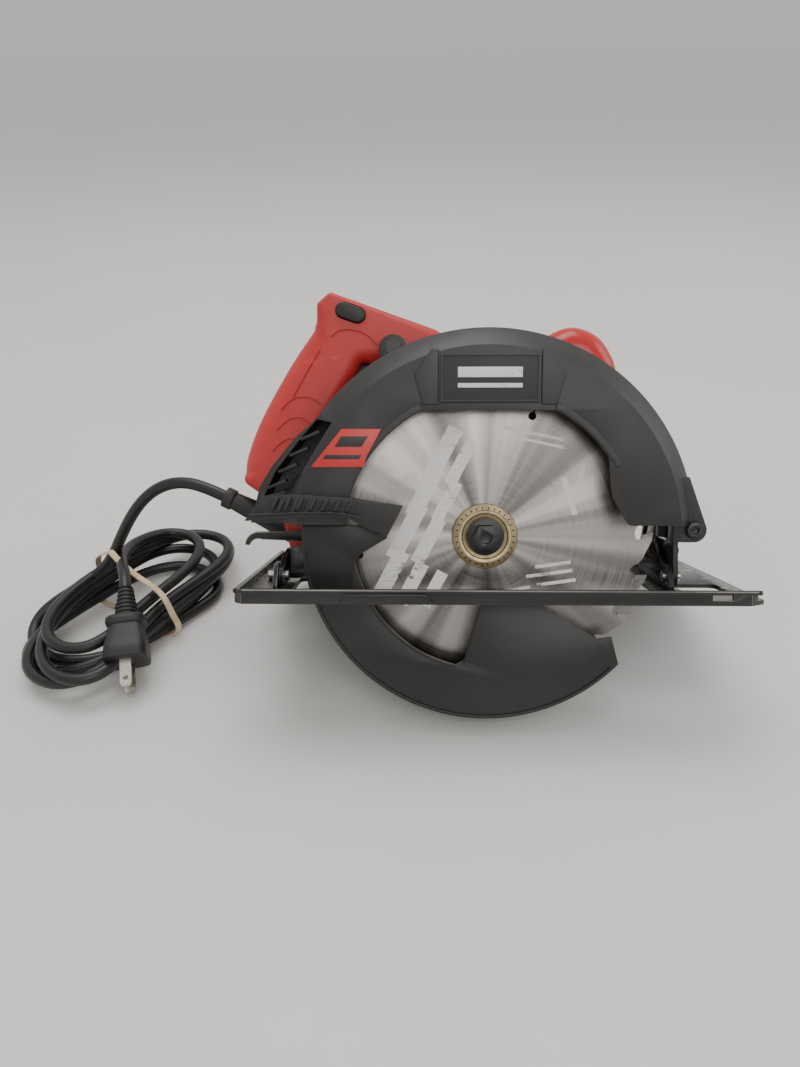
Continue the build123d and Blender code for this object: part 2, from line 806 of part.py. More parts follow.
bolt_y, bolt_z = at(45, 12, bevel_y, bevel_z)
with BuildPart() as front_quadrant:
    with BuildSketch(across(99)):
        with BuildLine():
            Polyline((-12, sheet_top), (-12, -26), (-5, -15.5), (4, -15.5), (20, -6))
            Polyline((20, -6), (19.4, 7), (19.4, 24.5))
            ThreePointArc((19.4, 24.5), at(52, 30, bevel_y, bevel_z), at(52, 0, bevel_y, bevel_z))
            Polyline(at(52, 0, bevel_y, bevel_z), (54, sheet_top), (-12, sheet_top))
        make_face()
        with Locations((bevel_y, bevel_z)):
            Circle(3.1, mode=Mode.SUBTRACT)
        add(bent_slot(45, 11.5, 46, 6.6, bevel_y, bevel_z), mode=Mode.SUBTRACT)
    extrude(amount=2.5)
    with BuildSketch(Plane.XY.offset(sheet_top)):
        with Locations((103, 75)):
            Rectangle(8, 42)
        with Locations((108, 75)):
            Rectangle(18, 16)
    extrude(amount=2)
    with BuildSketch(across(99)):
        Polygon((52, sheet_top), (52, -18), (70, -24), (96, sheet_top), align=None)
    extrude(amount=2.5)
write(front_quadrant, "front_quadrant")

with BuildPart() as front_bracket:
    with BuildSketch(across(102)):
        with BuildLine():
            Polyline((-6, 10), (7.4, 10), (7.4, -3.2), (24, -3.2), (bolt_y + 3, bolt_z + 7.4))
            ThreePointArc((bolt_y + 3, bolt_z + 7.4), (bolt_y + 8, bolt_z), (bolt_y, bolt_z - 8))
            Polyline((bolt_y, bolt_z - 8), (20, -17), at(6.4, 40, bevel_y, bevel_z))
            ThreePointArc(
                at(6.4, 40, bevel_y, bevel_z), at(6.4, -90, bevel_y, bevel_z),
                at(6.4, 180, bevel_y, bevel_z),
            )
            Polyline(at(6.4, 180, bevel_y, bevel_z), (-6, -5), (-6, 10))
        make_face()
        with Locations((bevel_y, bevel_z), (bolt_y, bolt_z)):
            Circle(3.1, mode=Mode.SUBTRACT)
    extrude(amount=2.5)
    with BuildSketch(side(-6)):
        with Locations((pivot_x, pivot_z)):
            Circle(6)
        Polygon((102, -1), (pivot_x + 3, -0.3), (pivot_x + 3, 10.3), (102, 11), align=None)
    extrude(amount=-13.4)
    with BuildSketch(side(-3.5)):
        Polygon((104.5, -3), (113, -3), (113, 12.5), (104.5, 12.5), align=None)
    extrude(amount=-8.4, mode=Mode.SUBTRACT)
    with BuildSketch(side(-8)):
        with Locations((pivot_x, pivot_z)):
            Circle(3.2, mode=Mode.ADD)
    extrude(amount=-20, mode=Mode.SUBTRACT)
write(front_bracket, "front_bracket")

with BuildPart() as depth_pivot_screw:
    with BuildSketch(side(-18.6)):
        with Locations((pivot_x, pivot_z)):
            Circle(4.4)
    extrude(amount=-2.6)
    with BuildSketch(side(-16)):
        with Locations((pivot_x, pivot_z)):
            Circle(3.1)
    extrude(amount=-32)
    with BuildSketch(side(-18.6)):
        with Locations((pivot_x, pivot_z)):
            RegularPolygon(2, 6)
    extrude(amount=-1.8, mode=Mode.SUBTRACT)
write(depth_pivot_screw, "depth_pivot_screw")

with BuildPart() as bevel_pivot_pins:
    for x0, x1 in ((97.6, 107), (-119.5, -108.5)):
        with BuildSketch(across(x0)):
            with Locations((bevel_y, bevel_z)):
                Circle(3)
        extrude(amount=x1 - x0)
write(bevel_pivot_pins, "bevel_pivot_pins")

with BuildPart() as bevel_lock_knob:
    with BuildSketch(across(105)):
        with Locations((bolt_y, bolt_z)):
            Circle(8)
            with PolarLocations(7.4, 6):
                Circle(2.6)
    extrude(amount=13)
    fillet(bevel_lock_knob.edges().group_by(Axis.X)[-1], 1.5)
write(bevel_lock_knob, "bevel_lock_knob")

with BuildPart() as bevel_bolt:
    with BuildSketch(across(92.6)):
        with Locations((bolt_y, bolt_z)):
            RegularPolygon(5.5, 6)
    extrude(amount=5.8)
    with BuildSketch(across(98.4)):
        with Locations((bolt_y, bolt_z)):
            Circle(2.9)
    extrude(amount=6.6)
write(bevel_bolt, "bevel_bolt")

# ---------- rear depth bracket ----------
bracket_near = 18.6
bracket_t = 2.8
with BuildPart() as depth_bracket:
    with BuildSketch(side(bracket_near)):
        add(bent_slot(arc_r, 154.5, 30.5, 17, pivot_x, pivot_z))
        Polygon(
            (-113, -10), (-104, -8), (-79, 6), (-62, -2), (-64, -12), (-72, -16), (-100, -27.5),
            (-113, -27.5), align=None,
        )
        add(bent_slot(arc_r, bolt_angle - 28.4, 28.8, 6.8, pivot_x, pivot_z), mode=Mode.SUBTRACT)
    extrude(amount=-bracket_t)
    with BuildSketch(across(-113)):
        with BuildLine():
            Polyline((bracket_near + bracket_t, -10), (4, -12), at(6.4, 120, bevel_y, bevel_z))
            ThreePointArc(
                at(6.4, 120, bevel_y, bevel_z), at(6.4, 210, bevel_y, bevel_z),
                at(6.4, 270, bevel_y, bevel_z),
            )
            Polyline(
                at(6.4, 270, bevel_y, bevel_z), (8, -26.5), (bracket_near + bracket_t, -24),
                (bracket_near + bracket_t, -10),
            )
        make_face()
        with Locations((bevel_y, bevel_z)):
            Circle(3.1, mode=Mode.SUBTRACT)
    extrude(amount=2.5)
write(depth_bracket, "depth_bracket")

with BuildPart() as rear_lug:
    with BuildSketch(across(-116)):
        with BuildLine():
            Polyline((-12, sheet_top), (-12, -26), (-6, -15.2), (3, -15.2), (26, -26), (40, -26))
            Polyline((40, -26), (40, sheet_top), (-12, sheet_top))
        make_face()
        with Locations((bevel_y, bevel_z)):
            Circle(3.1, mode=Mode.SUBTRACT)
    extrude(amount=2.5)
    with BuildSketch(Plane.XY.offset(sheet_top)):
        with Locations((-119.5, 30)):
            Rectangle(9, 20)
    extrude(amount=2)
write(rear_lug, "rear_lug")

with BuildPart() as base_rivets:
    with BuildSketch(Plane.XY.offset(sheet_top + 2)):
        with Locations((111, 71), (111, 79), (-120.5, 25), (-120.5, 35)):
            Circle(2.4)
    extrude(amount=1.4)
write(base_rivets, "base_rivets")

with BuildPart() as depth_lock_lever:
    with BuildSketch(side(bracket_near + bracket_t + 0.5)):
        with Locations(lock):
            Circle(8)
        with BuildLine():
            Polyline((-70, 3), (-104, -0.6), (-130, -0.8))
            ThreePointArc((-130, -0.8), (-136, -3.5), (-138, -8.5))
            Polyline((-138, -8.5), (-135.4, -8.8))
            ThreePointArc((-135.4, -8.8), (-132.5, -5.5), (-128, -5.4))
            Polyline((-128, -5.4), (-104, -6.2), (-72, -11.8), (-70, 3))
        make_face()
        with Locations(lock):
            Circle(3.1, mode=Mode.SUBTRACT)
    extrude(amount=-3.4)
write(depth_lock_lever, "depth_lock_lever")

with BuildPart() as depth_lock_bolt:
    with BuildSketch(side(14.0)):
        with Locations(lock):
            Circle(5)
    extrude(amount=-1)
    with BuildSketch(side(15.0)):
        with Locations(lock):
            Circle(3)
    extrude(amount=-10.6)
write(depth_lock_bolt, "depth_lock_bolt")

with BuildPart() as guard_screw:
    with BuildSketch(side(upper_far - upper_wall - 2.4)):
        with Locations((-51, 104)):
            Circle(4.2)
    extrude(amount=-2.4)
    with BuildSketch(side(upper_far - upper_wall)):
        with Locations((-51, 104)):
            Circle(2.1)
    extrude(amount=-8)
write(guard_screw, "guard_screw")

# ---------- cord ----------
relief_tip = Vector(-153.8, 42, 18.5)
relief_dir = Vector(-0.898, 0, 0.44).normalized()
relief_root = relief_tip - relief_dir * 47
with BuildPart() as strain_relief:
    with BuildSketch(Plane(origin=relief_root, x_dir=(0, 1, 0), z_dir=relief_dir)):
        Circle(8.2)
    with BuildSketch(Plane(origin=relief_tip - relief_dir * 6, x_dir=(0, 1, 0), z_dir=relief_dir)):
        Circle(5.4)
    loft()
    with BuildSketch(Plane(origin=relief_tip - relief_dir * 6, x_dir=(0, 1, 0), z_dir=relief_dir)):
        Circle(6.4)
    extrude(amount=6)
write(strain_relief, "strain_relief")


def leaned(point):
    """Where a point of the upright saw comes when it stands on the bench."""
    turn = math.radians(lean)
    return Vector(
        point.X - middle_x,
        point.Y * math.cos(turn) + point.Z * math.sin(turn) - middle_y,
        guard_low - point.Y * math.sin(turn) + point.Z * math.cos(turn),
    )


# The lead leaves the relief, rises over a bend and comes down onto the coil: points on the bench.
route = [leaned(relief_tip)]
route += [
    Vector(x - middle_x, y - middle_y, z)
    for x, y, z in (
        (-166.5, 48.6, 99.6), (-181.0, 52.5, 100.8), (-195.5, 55.5, 96.2), (-208.5, 57.5, 86.2),
        (-219.5, 58.6, 72.5), (-229.0, 59.6, 57.0), (-237.5, 60.8, 41.5), (-241.8, 61.8, 33.0),
    )
]


def bend_radii(points):
    """Each bend as large as its two runs allow."""
    radii = []
    for before, here, after in zip(points, points[1:], points[2:]):
        turn = math.radians((here - before).get_angle(after - here))
        radii.append(0.45 * min((here - before).length, (after - here).length) / math.tan(turn / 2))
    return radii


radii = bend_radii(route)
print("lead bend radii", [round(r, 1) for r in radii])
with BuildPart() as cord_lead:
    with BuildLine() as lead_line:
        FilletPolyline(*route, radius=radii)
    lead_wire = lead_line.wires()[0]
    with BuildSketch(Plane(origin=lead_wire @ 0, z_dir=lead_wire % 0)):
        Circle(cord_d / 2)
    sweep()
lead_length = lead_wire.length
print("lead length", round(lead_length, 1), "volume against section by length",
      round(cord_lead.part.volume / (math.pi * cord_d**2 / 4 * lead_length), 4))
write(cord_lead, "cord_lead", lies=False)

# the hank: two lobes of turns with a narrower waist, where the rubber band holds it
coil_x = -228 - middle_x
coil_y = 49 - middle_y
coil_turn = 61
coil_low = 1.4
coil_top = 33.0
coil_waist = 37
lobe_reach = 45
rear_lobe_r = 50
front_lobe_r = 44
with BuildPart() as cord_coil:
    with BuildSketch(Plane(origin=(coil_x, coil_y, coil_low)).rotated((0, 0, coil_turn))):
        with Locations((-lobe_reach, 0)):
            Circle(rear_lobe_r)
        with Locations((lobe_reach, 0)):
            Circle(front_lobe_r)
        Rectangle(2 * lobe_reach, 2 * coil_waist)
    extrude(amount=coil_top - coil_low)
    fillet(cord_coil.edges().group_by(Axis.Z)[-1], 7)
    fillet(cord_coil.edges().group_by(Axis.Z)[0], 7)
write(cord_coil, "cord_coil", lies=False)

band_t = 1.0
waist = Plane(
    origin=(coil_x, coil_y, (coil_low + coil_top) / 2),
    x_dir=(-math.sin(math.radians(coil_turn)), math.cos(math.radians(coil_turn)), 0),
    z_dir=(math.cos(math.radians(coil_turn)), math.sin(math.radians(coil_turn)), 0),
)
with BuildPart() as rubber_band:
    with BuildSketch(waist.offset(-2)):
        RectangleRounded(2 * coil_waist + 2.2, coil_top - coil_low + 2.6, 8)
        RectangleRounded(2 * (coil_waist - band_t) + 2.2, coil_top - coil_low + 0.6, 7, mode=Mode.SUBTRACT)
    extrude(amount=4)
write(rubber_band, "rubber_band", lies=False)

plug_dir = Vector(-0.19, 0.84, 0.5).normalized()
plug_face = Vector(-208 - middle_x, -18 - middle_y, 17.5)


def plug_plane(d):
    """Across the plug at d behind its face."""
    return Plane(origin=plug_face + plug_dir * d, x_dir=(0.975, 0.22, 0), z_dir=plug_dir)


with BuildPart() as plug_body:
    with BuildSketch(plug_plane(0)):
        RectangleRounded(25, 25, 7)
    with BuildSketch(plug_plane(24)):
        RectangleRounded(23, 21, 7)
    loft()
    with BuildSketch(plug_plane(24)):
        RectangleRounded(20, 18, 6)
    extrude(amount=4)
    with BuildSketch(plug_plane(28)):
        Circle(7)
    with BuildSketch(plug_plane(48)):
        Circle(4.6)
    loft()
write(plug_body, "plug_body", lies=False)

with BuildPart() as plug_prongs:
    with BuildSketch(plug_plane(0)):
        with Locations((0, 6.35), (0, -6.35)):
            Rectangle(6.6, 1.6)
    extrude(amount=-17)
write(plug_prongs, "plug_prongs", lies=False)
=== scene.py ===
import bpy
import bmesh
import json
import math
from mathutils import Matrix, Vector


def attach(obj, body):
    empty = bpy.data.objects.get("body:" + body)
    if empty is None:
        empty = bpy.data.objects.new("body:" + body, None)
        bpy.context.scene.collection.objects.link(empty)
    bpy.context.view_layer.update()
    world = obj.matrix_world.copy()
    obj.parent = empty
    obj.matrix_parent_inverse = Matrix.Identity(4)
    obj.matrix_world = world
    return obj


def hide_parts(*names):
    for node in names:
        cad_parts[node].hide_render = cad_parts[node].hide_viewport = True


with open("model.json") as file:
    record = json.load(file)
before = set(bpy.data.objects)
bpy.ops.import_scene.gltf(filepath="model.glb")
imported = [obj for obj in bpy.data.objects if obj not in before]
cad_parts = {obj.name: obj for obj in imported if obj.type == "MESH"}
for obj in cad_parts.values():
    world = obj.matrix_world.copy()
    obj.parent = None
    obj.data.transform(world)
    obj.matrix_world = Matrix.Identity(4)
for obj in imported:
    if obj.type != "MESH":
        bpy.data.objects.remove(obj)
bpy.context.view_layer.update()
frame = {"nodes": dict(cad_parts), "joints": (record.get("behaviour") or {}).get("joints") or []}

nodes = frame["nodes"]
print("frame loaded:", len(nodes), "nodes")

# the saw leans back on its lower guard: drawn upright about the arbor, then turned onto the bench
leanBack = math.radians(25)
joints = {j["name"]: j for j in frame["joints"]}
arbor = Vector(joints["blade_spin"]["pos_m"])
toBench = Matrix.Translation(arbor) @ Matrix.Rotation(-leanBack, 4, "X")


def mm(*values):
    return Vector([v / 1000 for v in values])


def polar(radius, degrees, x=0.0, z=0.0):
    turn = math.radians(degrees)
    return (x + radius * math.cos(turn), z + radius * math.sin(turn))


class Shade:
    # a small helper that wires one material
    def __init__(self, name, color, roughness, metallic=0.0):
        self.mat = bpy.data.materials.new(name)
        self.mat.use_nodes = True
        self.tree = self.mat.node_tree
        self.shader = self.tree.nodes["Principled BSDF"]
        self.shader.inputs["Base Color"].default_value = (*color, 1)
        self.shader.inputs["Roughness"].default_value = roughness
        self.shader.inputs["Metallic"].default_value = metallic
        self.mat.diffuse_color = (*color, 1)
        self.coords = self.add("ShaderNodeTexCoord").outputs["Object"]

    def add(self, kind, **settings):
        node = self.tree.nodes.new(kind)
        for key, value in settings.items():
            setattr(node, key, value)
        return node

    def link(self, out, into):
        self.tree.links.new(out, into)
        return out

    def noise(self, scale, detail=4.0, rough=0.55, coords=None, stretch=None):
        source = coords or self.coords
        if stretch:
            place = self.add("ShaderNodeMapping")
            place.inputs["Scale"].default_value = stretch
            self.link(source, place.inputs["Vector"])
            source = place.outputs["Vector"]
        node = self.add("ShaderNodeTexNoise")
        node.inputs["Scale"].default_value = scale
        node.inputs["Detail"].default_value = detail
        node.inputs["Roughness"].default_value = rough
        self.link(source, node.inputs["Vector"])
        return node.outputs["Fac"]

    def span(self, value, low, high, start=0.0, stop=1.0):
        node = self.add("ShaderNodeMapRange")
        node.inputs["From Min"].default_value = start
        node.inputs["From Max"].default_value = stop
        node.inputs["To Min"].default_value = low
        node.inputs["To Max"].default_value = high
        self.link(value, node.inputs["Value"])
        return node.outputs["Result"]

    def blend(self, factor, first, second):
        node = self.add("ShaderNodeMix", data_type="RGBA")
        self.link(factor, node.inputs["Factor"])
        for value, socket in ((first, node.inputs["A"]), (second, node.inputs["B"])):
            if hasattr(value, "is_output"):
                self.link(value, socket)
            else:
                socket.default_value = (*value, 1)
        return node.outputs["Result"]

    def math(self, operation, a, b=0.0):
        node = self.add("ShaderNodeMath", operation=operation)
        for value, socket in ((a, node.inputs[0]), (b, node.inputs[1])):
            if hasattr(value, "is_output"):
                self.link(value, socket)
            else:
                socket.default_value = value
        return node.outputs["Value"]

    def color(self, out):
        self.link(out, self.shader.inputs["Base Color"])

    def rough(self, out):
        self.link(out, self.shader.inputs["Roughness"])

    def bump(self, out, strength, distance):
        node = self.add("ShaderNodeBump")
        node.inputs["Strength"].default_value = strength
        node.inputs["Distance"].default_value = distance
        self.link(out, node.inputs["Height"])
        self.link(node.outputs["Normal"], self.shader.inputs["Normal"])

    def saw(self):
        # object coordinates turned back into the upright saw's own frame
        place = self.add("ShaderNodeMapping")
        place.inputs["Rotation"].default_value = (leanBack, 0, 0)
        home = Matrix.Rotation(leanBack, 3, "X") @ -arbor
        place.inputs["Location"].default_value = home
        self.link(self.coords, place.inputs["Vector"])
        return place.outputs["Vector"]

    def parts(self, vector):
        node = self.add("ShaderNodeSeparateXYZ")
        self.link(vector, node.inputs["Vector"])
        return node.outputs["X"], node.outputs["Y"], node.outputs["Z"]

    def bar(self, x, z, cx, cz, wide, high, turn=0.0, soft=0.0004):
        # 1 inside an upright or turned bar in the plane across the saw, 0 outside
        c, s = math.cos(math.radians(turn)), math.sin(math.radians(turn))
        dx = self.math("SUBTRACT", x, cx / 1000)
        dz = self.math("SUBTRACT", z, cz / 1000)
        along = self.math("ADD", self.math("MULTIPLY", dx, c), self.math("MULTIPLY", dz, s))
        over = self.math("SUBTRACT", self.math("MULTIPLY", dz, c), self.math("MULTIPLY", dx, s))
        a = self.span(self.math("ABSOLUTE", along), 1, 0, wide / 2000 - soft, wide / 2000)
        b = self.span(self.math("ABSOLUTE", over), 1, 0, high / 2000 - soft, high / 2000)
        return self.math("MINIMUM", a, b)


def coated(name, dark, light, roughness, grain=900, bumpUp=0.25):
    # a painted or moulded surface: fine grain, slow tone drift and scuffs
    s = Shade(name, dark, roughness[0])
    drift = s.noise(14, 3, 0.6)
    tone = s.blend(s.span(drift, 0, 1, 0.35, 0.65), dark, light)
    scuff = s.noise(60, 6, 0.7, stretch=(1, 3.5, 1))
    marks = s.span(scuff, 0, 0.5, 0.62, 0.74)
    tone = s.blend(marks, tone, [min(1, c * 1.7 + 0.015) for c in light])
    s.color(tone)
    s.rough(s.span(s.math("ADD", drift, s.math("MULTIPLY", scuff, 0.5)), *roughness, 0.5, 1.0))
    s.bump(s.noise(grain, 3, 0.6), bumpUp, 0.0002)
    return s.mat


def bladeSteelMat():
    look = {"light": (0.33, 0.312, 0.292), "dark": (0.21, 0.197, 0.183), "ink": (0.86, 0.85, 0.83)}
    s = Shade("bladeSteel", look["light"], 0.3, 1.0)
    s.shader.inputs["Anisotropic"].default_value = 0.6
    own = s.saw()
    x, y, z = s.parts(own)
    radius = s.math("SQRT", s.math("ADD", s.math("MULTIPLY", x, x), s.math("MULTIPLY", z, z)))
    turn = s.math("ARCTAN2", z, x)
    polarSpot = s.add("ShaderNodeCombineXYZ")
    s.link(s.math("MULTIPLY", radius, 2600), polarSpot.inputs["X"])
    s.link(s.math("MULTIPLY", turn, 1.3), polarSpot.inputs["Y"])
    rings = s.noise(1.0, 3, 0.6, coords=polarSpot.outputs["Vector"])
    # painted highlights and painted dark reflections: bright and dark bands that fan out from the arbor by angle
    # alone, standing in for the brushed steel's cone-shaped reflections
    coneSheenSpot = s.add("ShaderNodeCombineXYZ")
    s.link(s.math("SINE", turn), coneSheenSpot.inputs["X"])
    s.link(s.math("COSINE", turn), coneSheenSpot.inputs["Y"])
    fan = s.noise(3.4, 2, 0.5, coords=coneSheenSpot.outputs["Vector"])
    tone = s.blend(s.span(rings, 0, 1, 0.3, 0.7), look["dark"], look["light"])
    # painted highlight bands
    tone = s.blend(s.span(fan, 0, 0.85, 0.45, 0.66), tone, (0.60, 0.575, 0.545))
    # painted dark reflection bands
    tone = s.blend(s.span(fan, 0.75, 0, 0.3, 0.46), tone, (0.115, 0.105, 0.096))
    smear = s.span(s.noise(46, 6, 0.7), 0, 0.55, 0.56, 0.7)
    tone = s.blend(smear, tone, (0.30, 0.285, 0.27))
    # plain printed bands, half rubbed away: centre x, centre z, width, height, turn
    prints = [
        (-24, 44, 34, 9, 62), (-13.5, 40, 26, 7, 62), (-33, 24, 30, 9, 62), (-21, 19, 24, 7, 62),
        (-43, 2, 34, 9, 62), (-31, -3, 28, 8, 62), (-52, -22, 30, 9, 62), (-40, -27, 26, 8, 62),
        (-28, -30, 22, 7, 62), (46, 22, 3.6, 22, 18), (52, 30, 3.2, 20, -8), (38, -16, 20, 2.2, 8),
        (36, -21, 26, 2.2, 8), (40, -26, 22, 2.2, 8), (26, 56, 34, 2.0, -12), (30, 51, 26, 1.8, -12),
        (18, -30, 16, 2.2, 10),
    ]
    ink = None
    for cx, cz, wide, high, angle in prints:
        one = s.bar(x, z, cx, cz, wide, high, angle)
        ink = one if ink is None else s.math("MAXIMUM", ink, one)
    rubbed = s.span(s.noise(55, 8, 0.75), 1, 0, 0.56, 0.62)
    streaks = s.span(s.noise(150, 4, 0.8, stretch=(0.3, 1, 2.2)), 1, 0.3, 0.56, 0.68)
    near = s.span(y, 1, 0, -0.0003, 0.0)
    ink = s.math("MULTIPLY", s.math("MULTIPLY", ink, s.math("MULTIPLY", rubbed, streaks)), near)
    s.color(s.blend(ink, tone, look["ink"]))
    s.link(s.math("SUBTRACT", 1.0, ink), s.shader.inputs["Metallic"])
    s.rough(s.math("ADD", s.span(rings, 0.24, 0.4, 0.3, 0.7), s.math("MULTIPLY", ink, 0.2)))
    s.bump(rings, 0.12, 0.00005)
    return s.mat


def brushed(name, light, dark, roughness, scale=400, stretch=(1, 1, 12)):
    s = Shade(name, light, roughness, 1.0)
    lines = s.noise(scale, 4, 0.65, stretch=stretch)
    s.color(s.blend(s.span(lines, 0, 1, 0.3, 0.7), dark, light))
    s.rough(s.span(s.noise(90, 4), roughness, roughness + 0.16, 0.35, 0.7))
    s.bump(lines, 0.15, 0.0001)
    return s.mat


def turnedBrass():
    # plated washer with turning marks, about the arbor
    s = Shade("yellowPlate", (0.60, 0.49, 0.29), 0.3, 1.0)
    x, y, z = s.parts(s.saw())
    radius = s.math("SQRT", s.math("ADD", s.math("MULTIPLY", x, x), s.math("MULTIPLY", z, z)))
    marks = s.math("SINE", s.math("MULTIPLY", radius, 9000))
    tone = s.blend(s.span(marks, 0, 0.5, -1, 1), (0.42, 0.335, 0.19), (0.27, 0.21, 0.12))
    band = s.math("MULTIPLY", s.span(radius, 0, 1, 0.0128, 0.0131), s.span(radius, 1, 0, 0.0142, 0.0145))
    tone = s.blend(band, tone, (0.58, 0.48, 0.30))
    stain = s.span(s.noise(120, 5, 0.7), 0, 0.7, 0.5, 0.68)
    s.color(s.blend(stain, tone, (0.16, 0.135, 0.10)))
    s.rough(s.span(s.noise(200, 4), 0.24, 0.5, 0.3, 0.7))
    s.bump(marks, 0.2, 0.0001)
    return s.mat


def cordMat():
    s = Shade("cordJacket", (0.018, 0.018, 0.019), 0.42)
    dust = s.span(s.noise(90, 6, 0.7), 0, 0.35, 0.55, 0.75)
    s.color(s.blend(dust, (0.011, 0.0108, 0.0105), (0.05, 0.048, 0.046)))
    s.rough(s.span(s.noise(45, 4), 0.3, 0.52, 0.35, 0.7))
    s.bump(s.noise(500, 3), 0.12, 0.0002)
    return s.mat


def bandMat():
    s = Shade("rubberBandTan", (0.66, 0.52, 0.33), 0.55)
    s.shader.inputs["Subsurface Weight"].default_value = 0.15
    s.shader.inputs["Subsurface Radius"].default_value = (0.003, 0.002, 0.001)
    s.color(s.blend(s.span(s.noise(160, 5), 0, 1, 0.35, 0.7), (0.58, 0.43, 0.26), (0.74, 0.62, 0.43)))
    s.bump(s.noise(600, 3, stretch=(1, 1, 4)), 0.3, 0.0003)
    return s.mat


def floorMat():
    s = Shade("paleTable", (0.66, 0.65, 0.63), 0.45)
    s.color(s.blend(s.span(s.noise(3, 4), 0, 1, 0.3, 0.7), (0.70, 0.69, 0.668), (0.735, 0.725, 0.703)))
    s.rough(s.span(s.noise(20, 4), 0.42, 0.55, 0.3, 0.7))
    return s.mat


def inkMat():
    s = Shade("whitePrint", (0.72, 0.72, 0.71), 0.5)
    s.color(s.blend(s.span(s.noise(300, 5, 0.7), 0, 1, 0.56, 0.7), (0.72, 0.72, 0.71), (0.36, 0.36, 0.36)))
    s.bump(s.noise(900), 0.1, 0.0001)
    return s.mat


mats = {
    "guardCoat": coated("guardCoat", (0.017, 0.0158, 0.015), (0.027, 0.0252, 0.024), (0.36, 0.5)),
    "guardEdge": coated("guardEdge", (0.045, 0.043, 0.041), (0.085, 0.08, 0.076), (0.34, 0.5), grain=300),
    "lowerCoat": coated("lowerGuardCoat", (0.009, 0.0085, 0.0082), (0.017, 0.016, 0.0152), (0.3, 0.44),
                        grain=500),
    "matteBlack": coated("matteBlack", (0.012, 0.0117, 0.0115), (0.021, 0.0205, 0.02), (0.45, 0.6)),
    "motorShell": coated("motorShell", (0.014, 0.0137, 0.0135), (0.025, 0.0245, 0.024), (0.46, 0.6), grain=1400),
    "glossRed": coated("glossRed", (0.43, 0.011, 0.011), (0.54, 0.019, 0.017), (0.16, 0.3), grain=200,
                       bumpUp=0.05),
    "gripRed": coated("gripRed", (0.47, 0.024, 0.022), (0.57, 0.042, 0.038), (0.4, 0.55), grain=1500,
                      bumpUp=0.3),
    "labelRed": coated("labelRed", (0.54, 0.028, 0.028), (0.6, 0.04, 0.038), (0.3, 0.42), grain=300,
                       bumpUp=0.05),
    "baseEnamel": coated("baseEnamel", (0.008, 0.0078, 0.0076), (0.02, 0.019, 0.0185), (0.18, 0.36), grain=260,
                         bumpUp=0.12),
    "enamelEdge": coated("enamelEdge", (0.035, 0.034, 0.033), (0.26, 0.25, 0.24), (0.22, 0.4), grain=260),
    "bladeSteel": bladeSteelMat(),
    "carbide": brushed("carbide", (0.34, 0.33, 0.32), (0.22, 0.21, 0.2), 0.35),
    "brass": turnedBrass(),
    "blackOxide": coated("blackOxide", (0.008, 0.008, 0.008), (0.02, 0.0195, 0.019), (0.26, 0.4), grain=600),
    "steel": brushed("plainSteel", (0.62, 0.61, 0.60), (0.40, 0.39, 0.385), 0.28),
    "laminations": brushed("laminations", (0.30, 0.29, 0.28), (0.16, 0.155, 0.15), 0.4, 900, (1, 14, 1)),
    "copper": brushed("copperWire", (0.62, 0.28, 0.13), (0.36, 0.15, 0.07), 0.3, 700),
    "carbon": coated("carbonBlock", (0.03, 0.03, 0.03), (0.06, 0.06, 0.06), (0.5, 0.65)),
    "cord": cordMat(),
    "prong": brushed("prongPlate", (0.66, 0.63, 0.55), (0.45, 0.42, 0.36), 0.22, 300),
    "band": bandMat(),
    "ink": inkMat(),
    "gripShade": coated("gripShade", (0.36, 0.012, 0.010), (0.45, 0.02, 0.018), (0.42, 0.56)),
    "blackPrint": coated("blackPrint", (0.02, 0.018, 0.018), (0.04, 0.03, 0.03), (0.4, 0.5)),
}
# the CAD nodes that stay in view
nodeFinish = {
    "matteBlack": ["trigger_switch", "fan", "brush_caps", "brush_holders", "spindle_lock"],
    "bladeSteel": ["blade"], "carbide": ["carbide_tips"], "brass": ["inner_flange"],
    "blackOxide": ["guard_screw", "handle_screws"],
    "steel": ["arbor_shaft", "arbor_gear", "arbor_bearing", "arbor_bush", "front_bearing", "rear_bearing",
              "armature_shaft", "cap_screws", "depth_lock_bolt", "bevel_bolt", "bevel_pivot_pins",
              "guard_retainer", "guard_spring", "base_rivets"],
    "laminations": ["armature_core", "field_core"],
    "copper": ["armature_windings", "commutator", "field_coils"], "carbon": ["carbon_brushes"],
}
for finish, names in nodeFinish.items():
    for name in names:
        skin = nodes[name].data.materials
        skin.clear()
        skin.append(mats[finish])
print("materials ready:", len(mats))


def keep(obj, body, finish=None, replaces=()):
    if finish:
        obj.data.materials.clear()
        obj.data.materials.append(mats[finish])
    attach(obj, body)
    if replaces:
        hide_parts(*replaces)
    return obj


def newObject(name, mesh):
    obj = bpy.data.objects.new(name, mesh)
    bpy.context.scene.collection.objects.link(obj)
    return obj


def smooth(mesh, angle=32):
    mesh.shade_smooth()
    mesh.set_sharp_from_angle(angle=math.radians(angle))


def applied(obj):
    # turns the modifiers of a piece into its mesh
    bpy.context.view_layer.update()
    ready = bpy.data.meshes.new_from_object(obj.evaluated_get(bpy.context.evaluated_depsgraph_get()))
    obj.modifiers.clear()
    old = obj.data
    obj.data = ready
    if isinstance(old, bpy.types.Mesh):
        bpy.data.meshes.remove(old)
    return obj


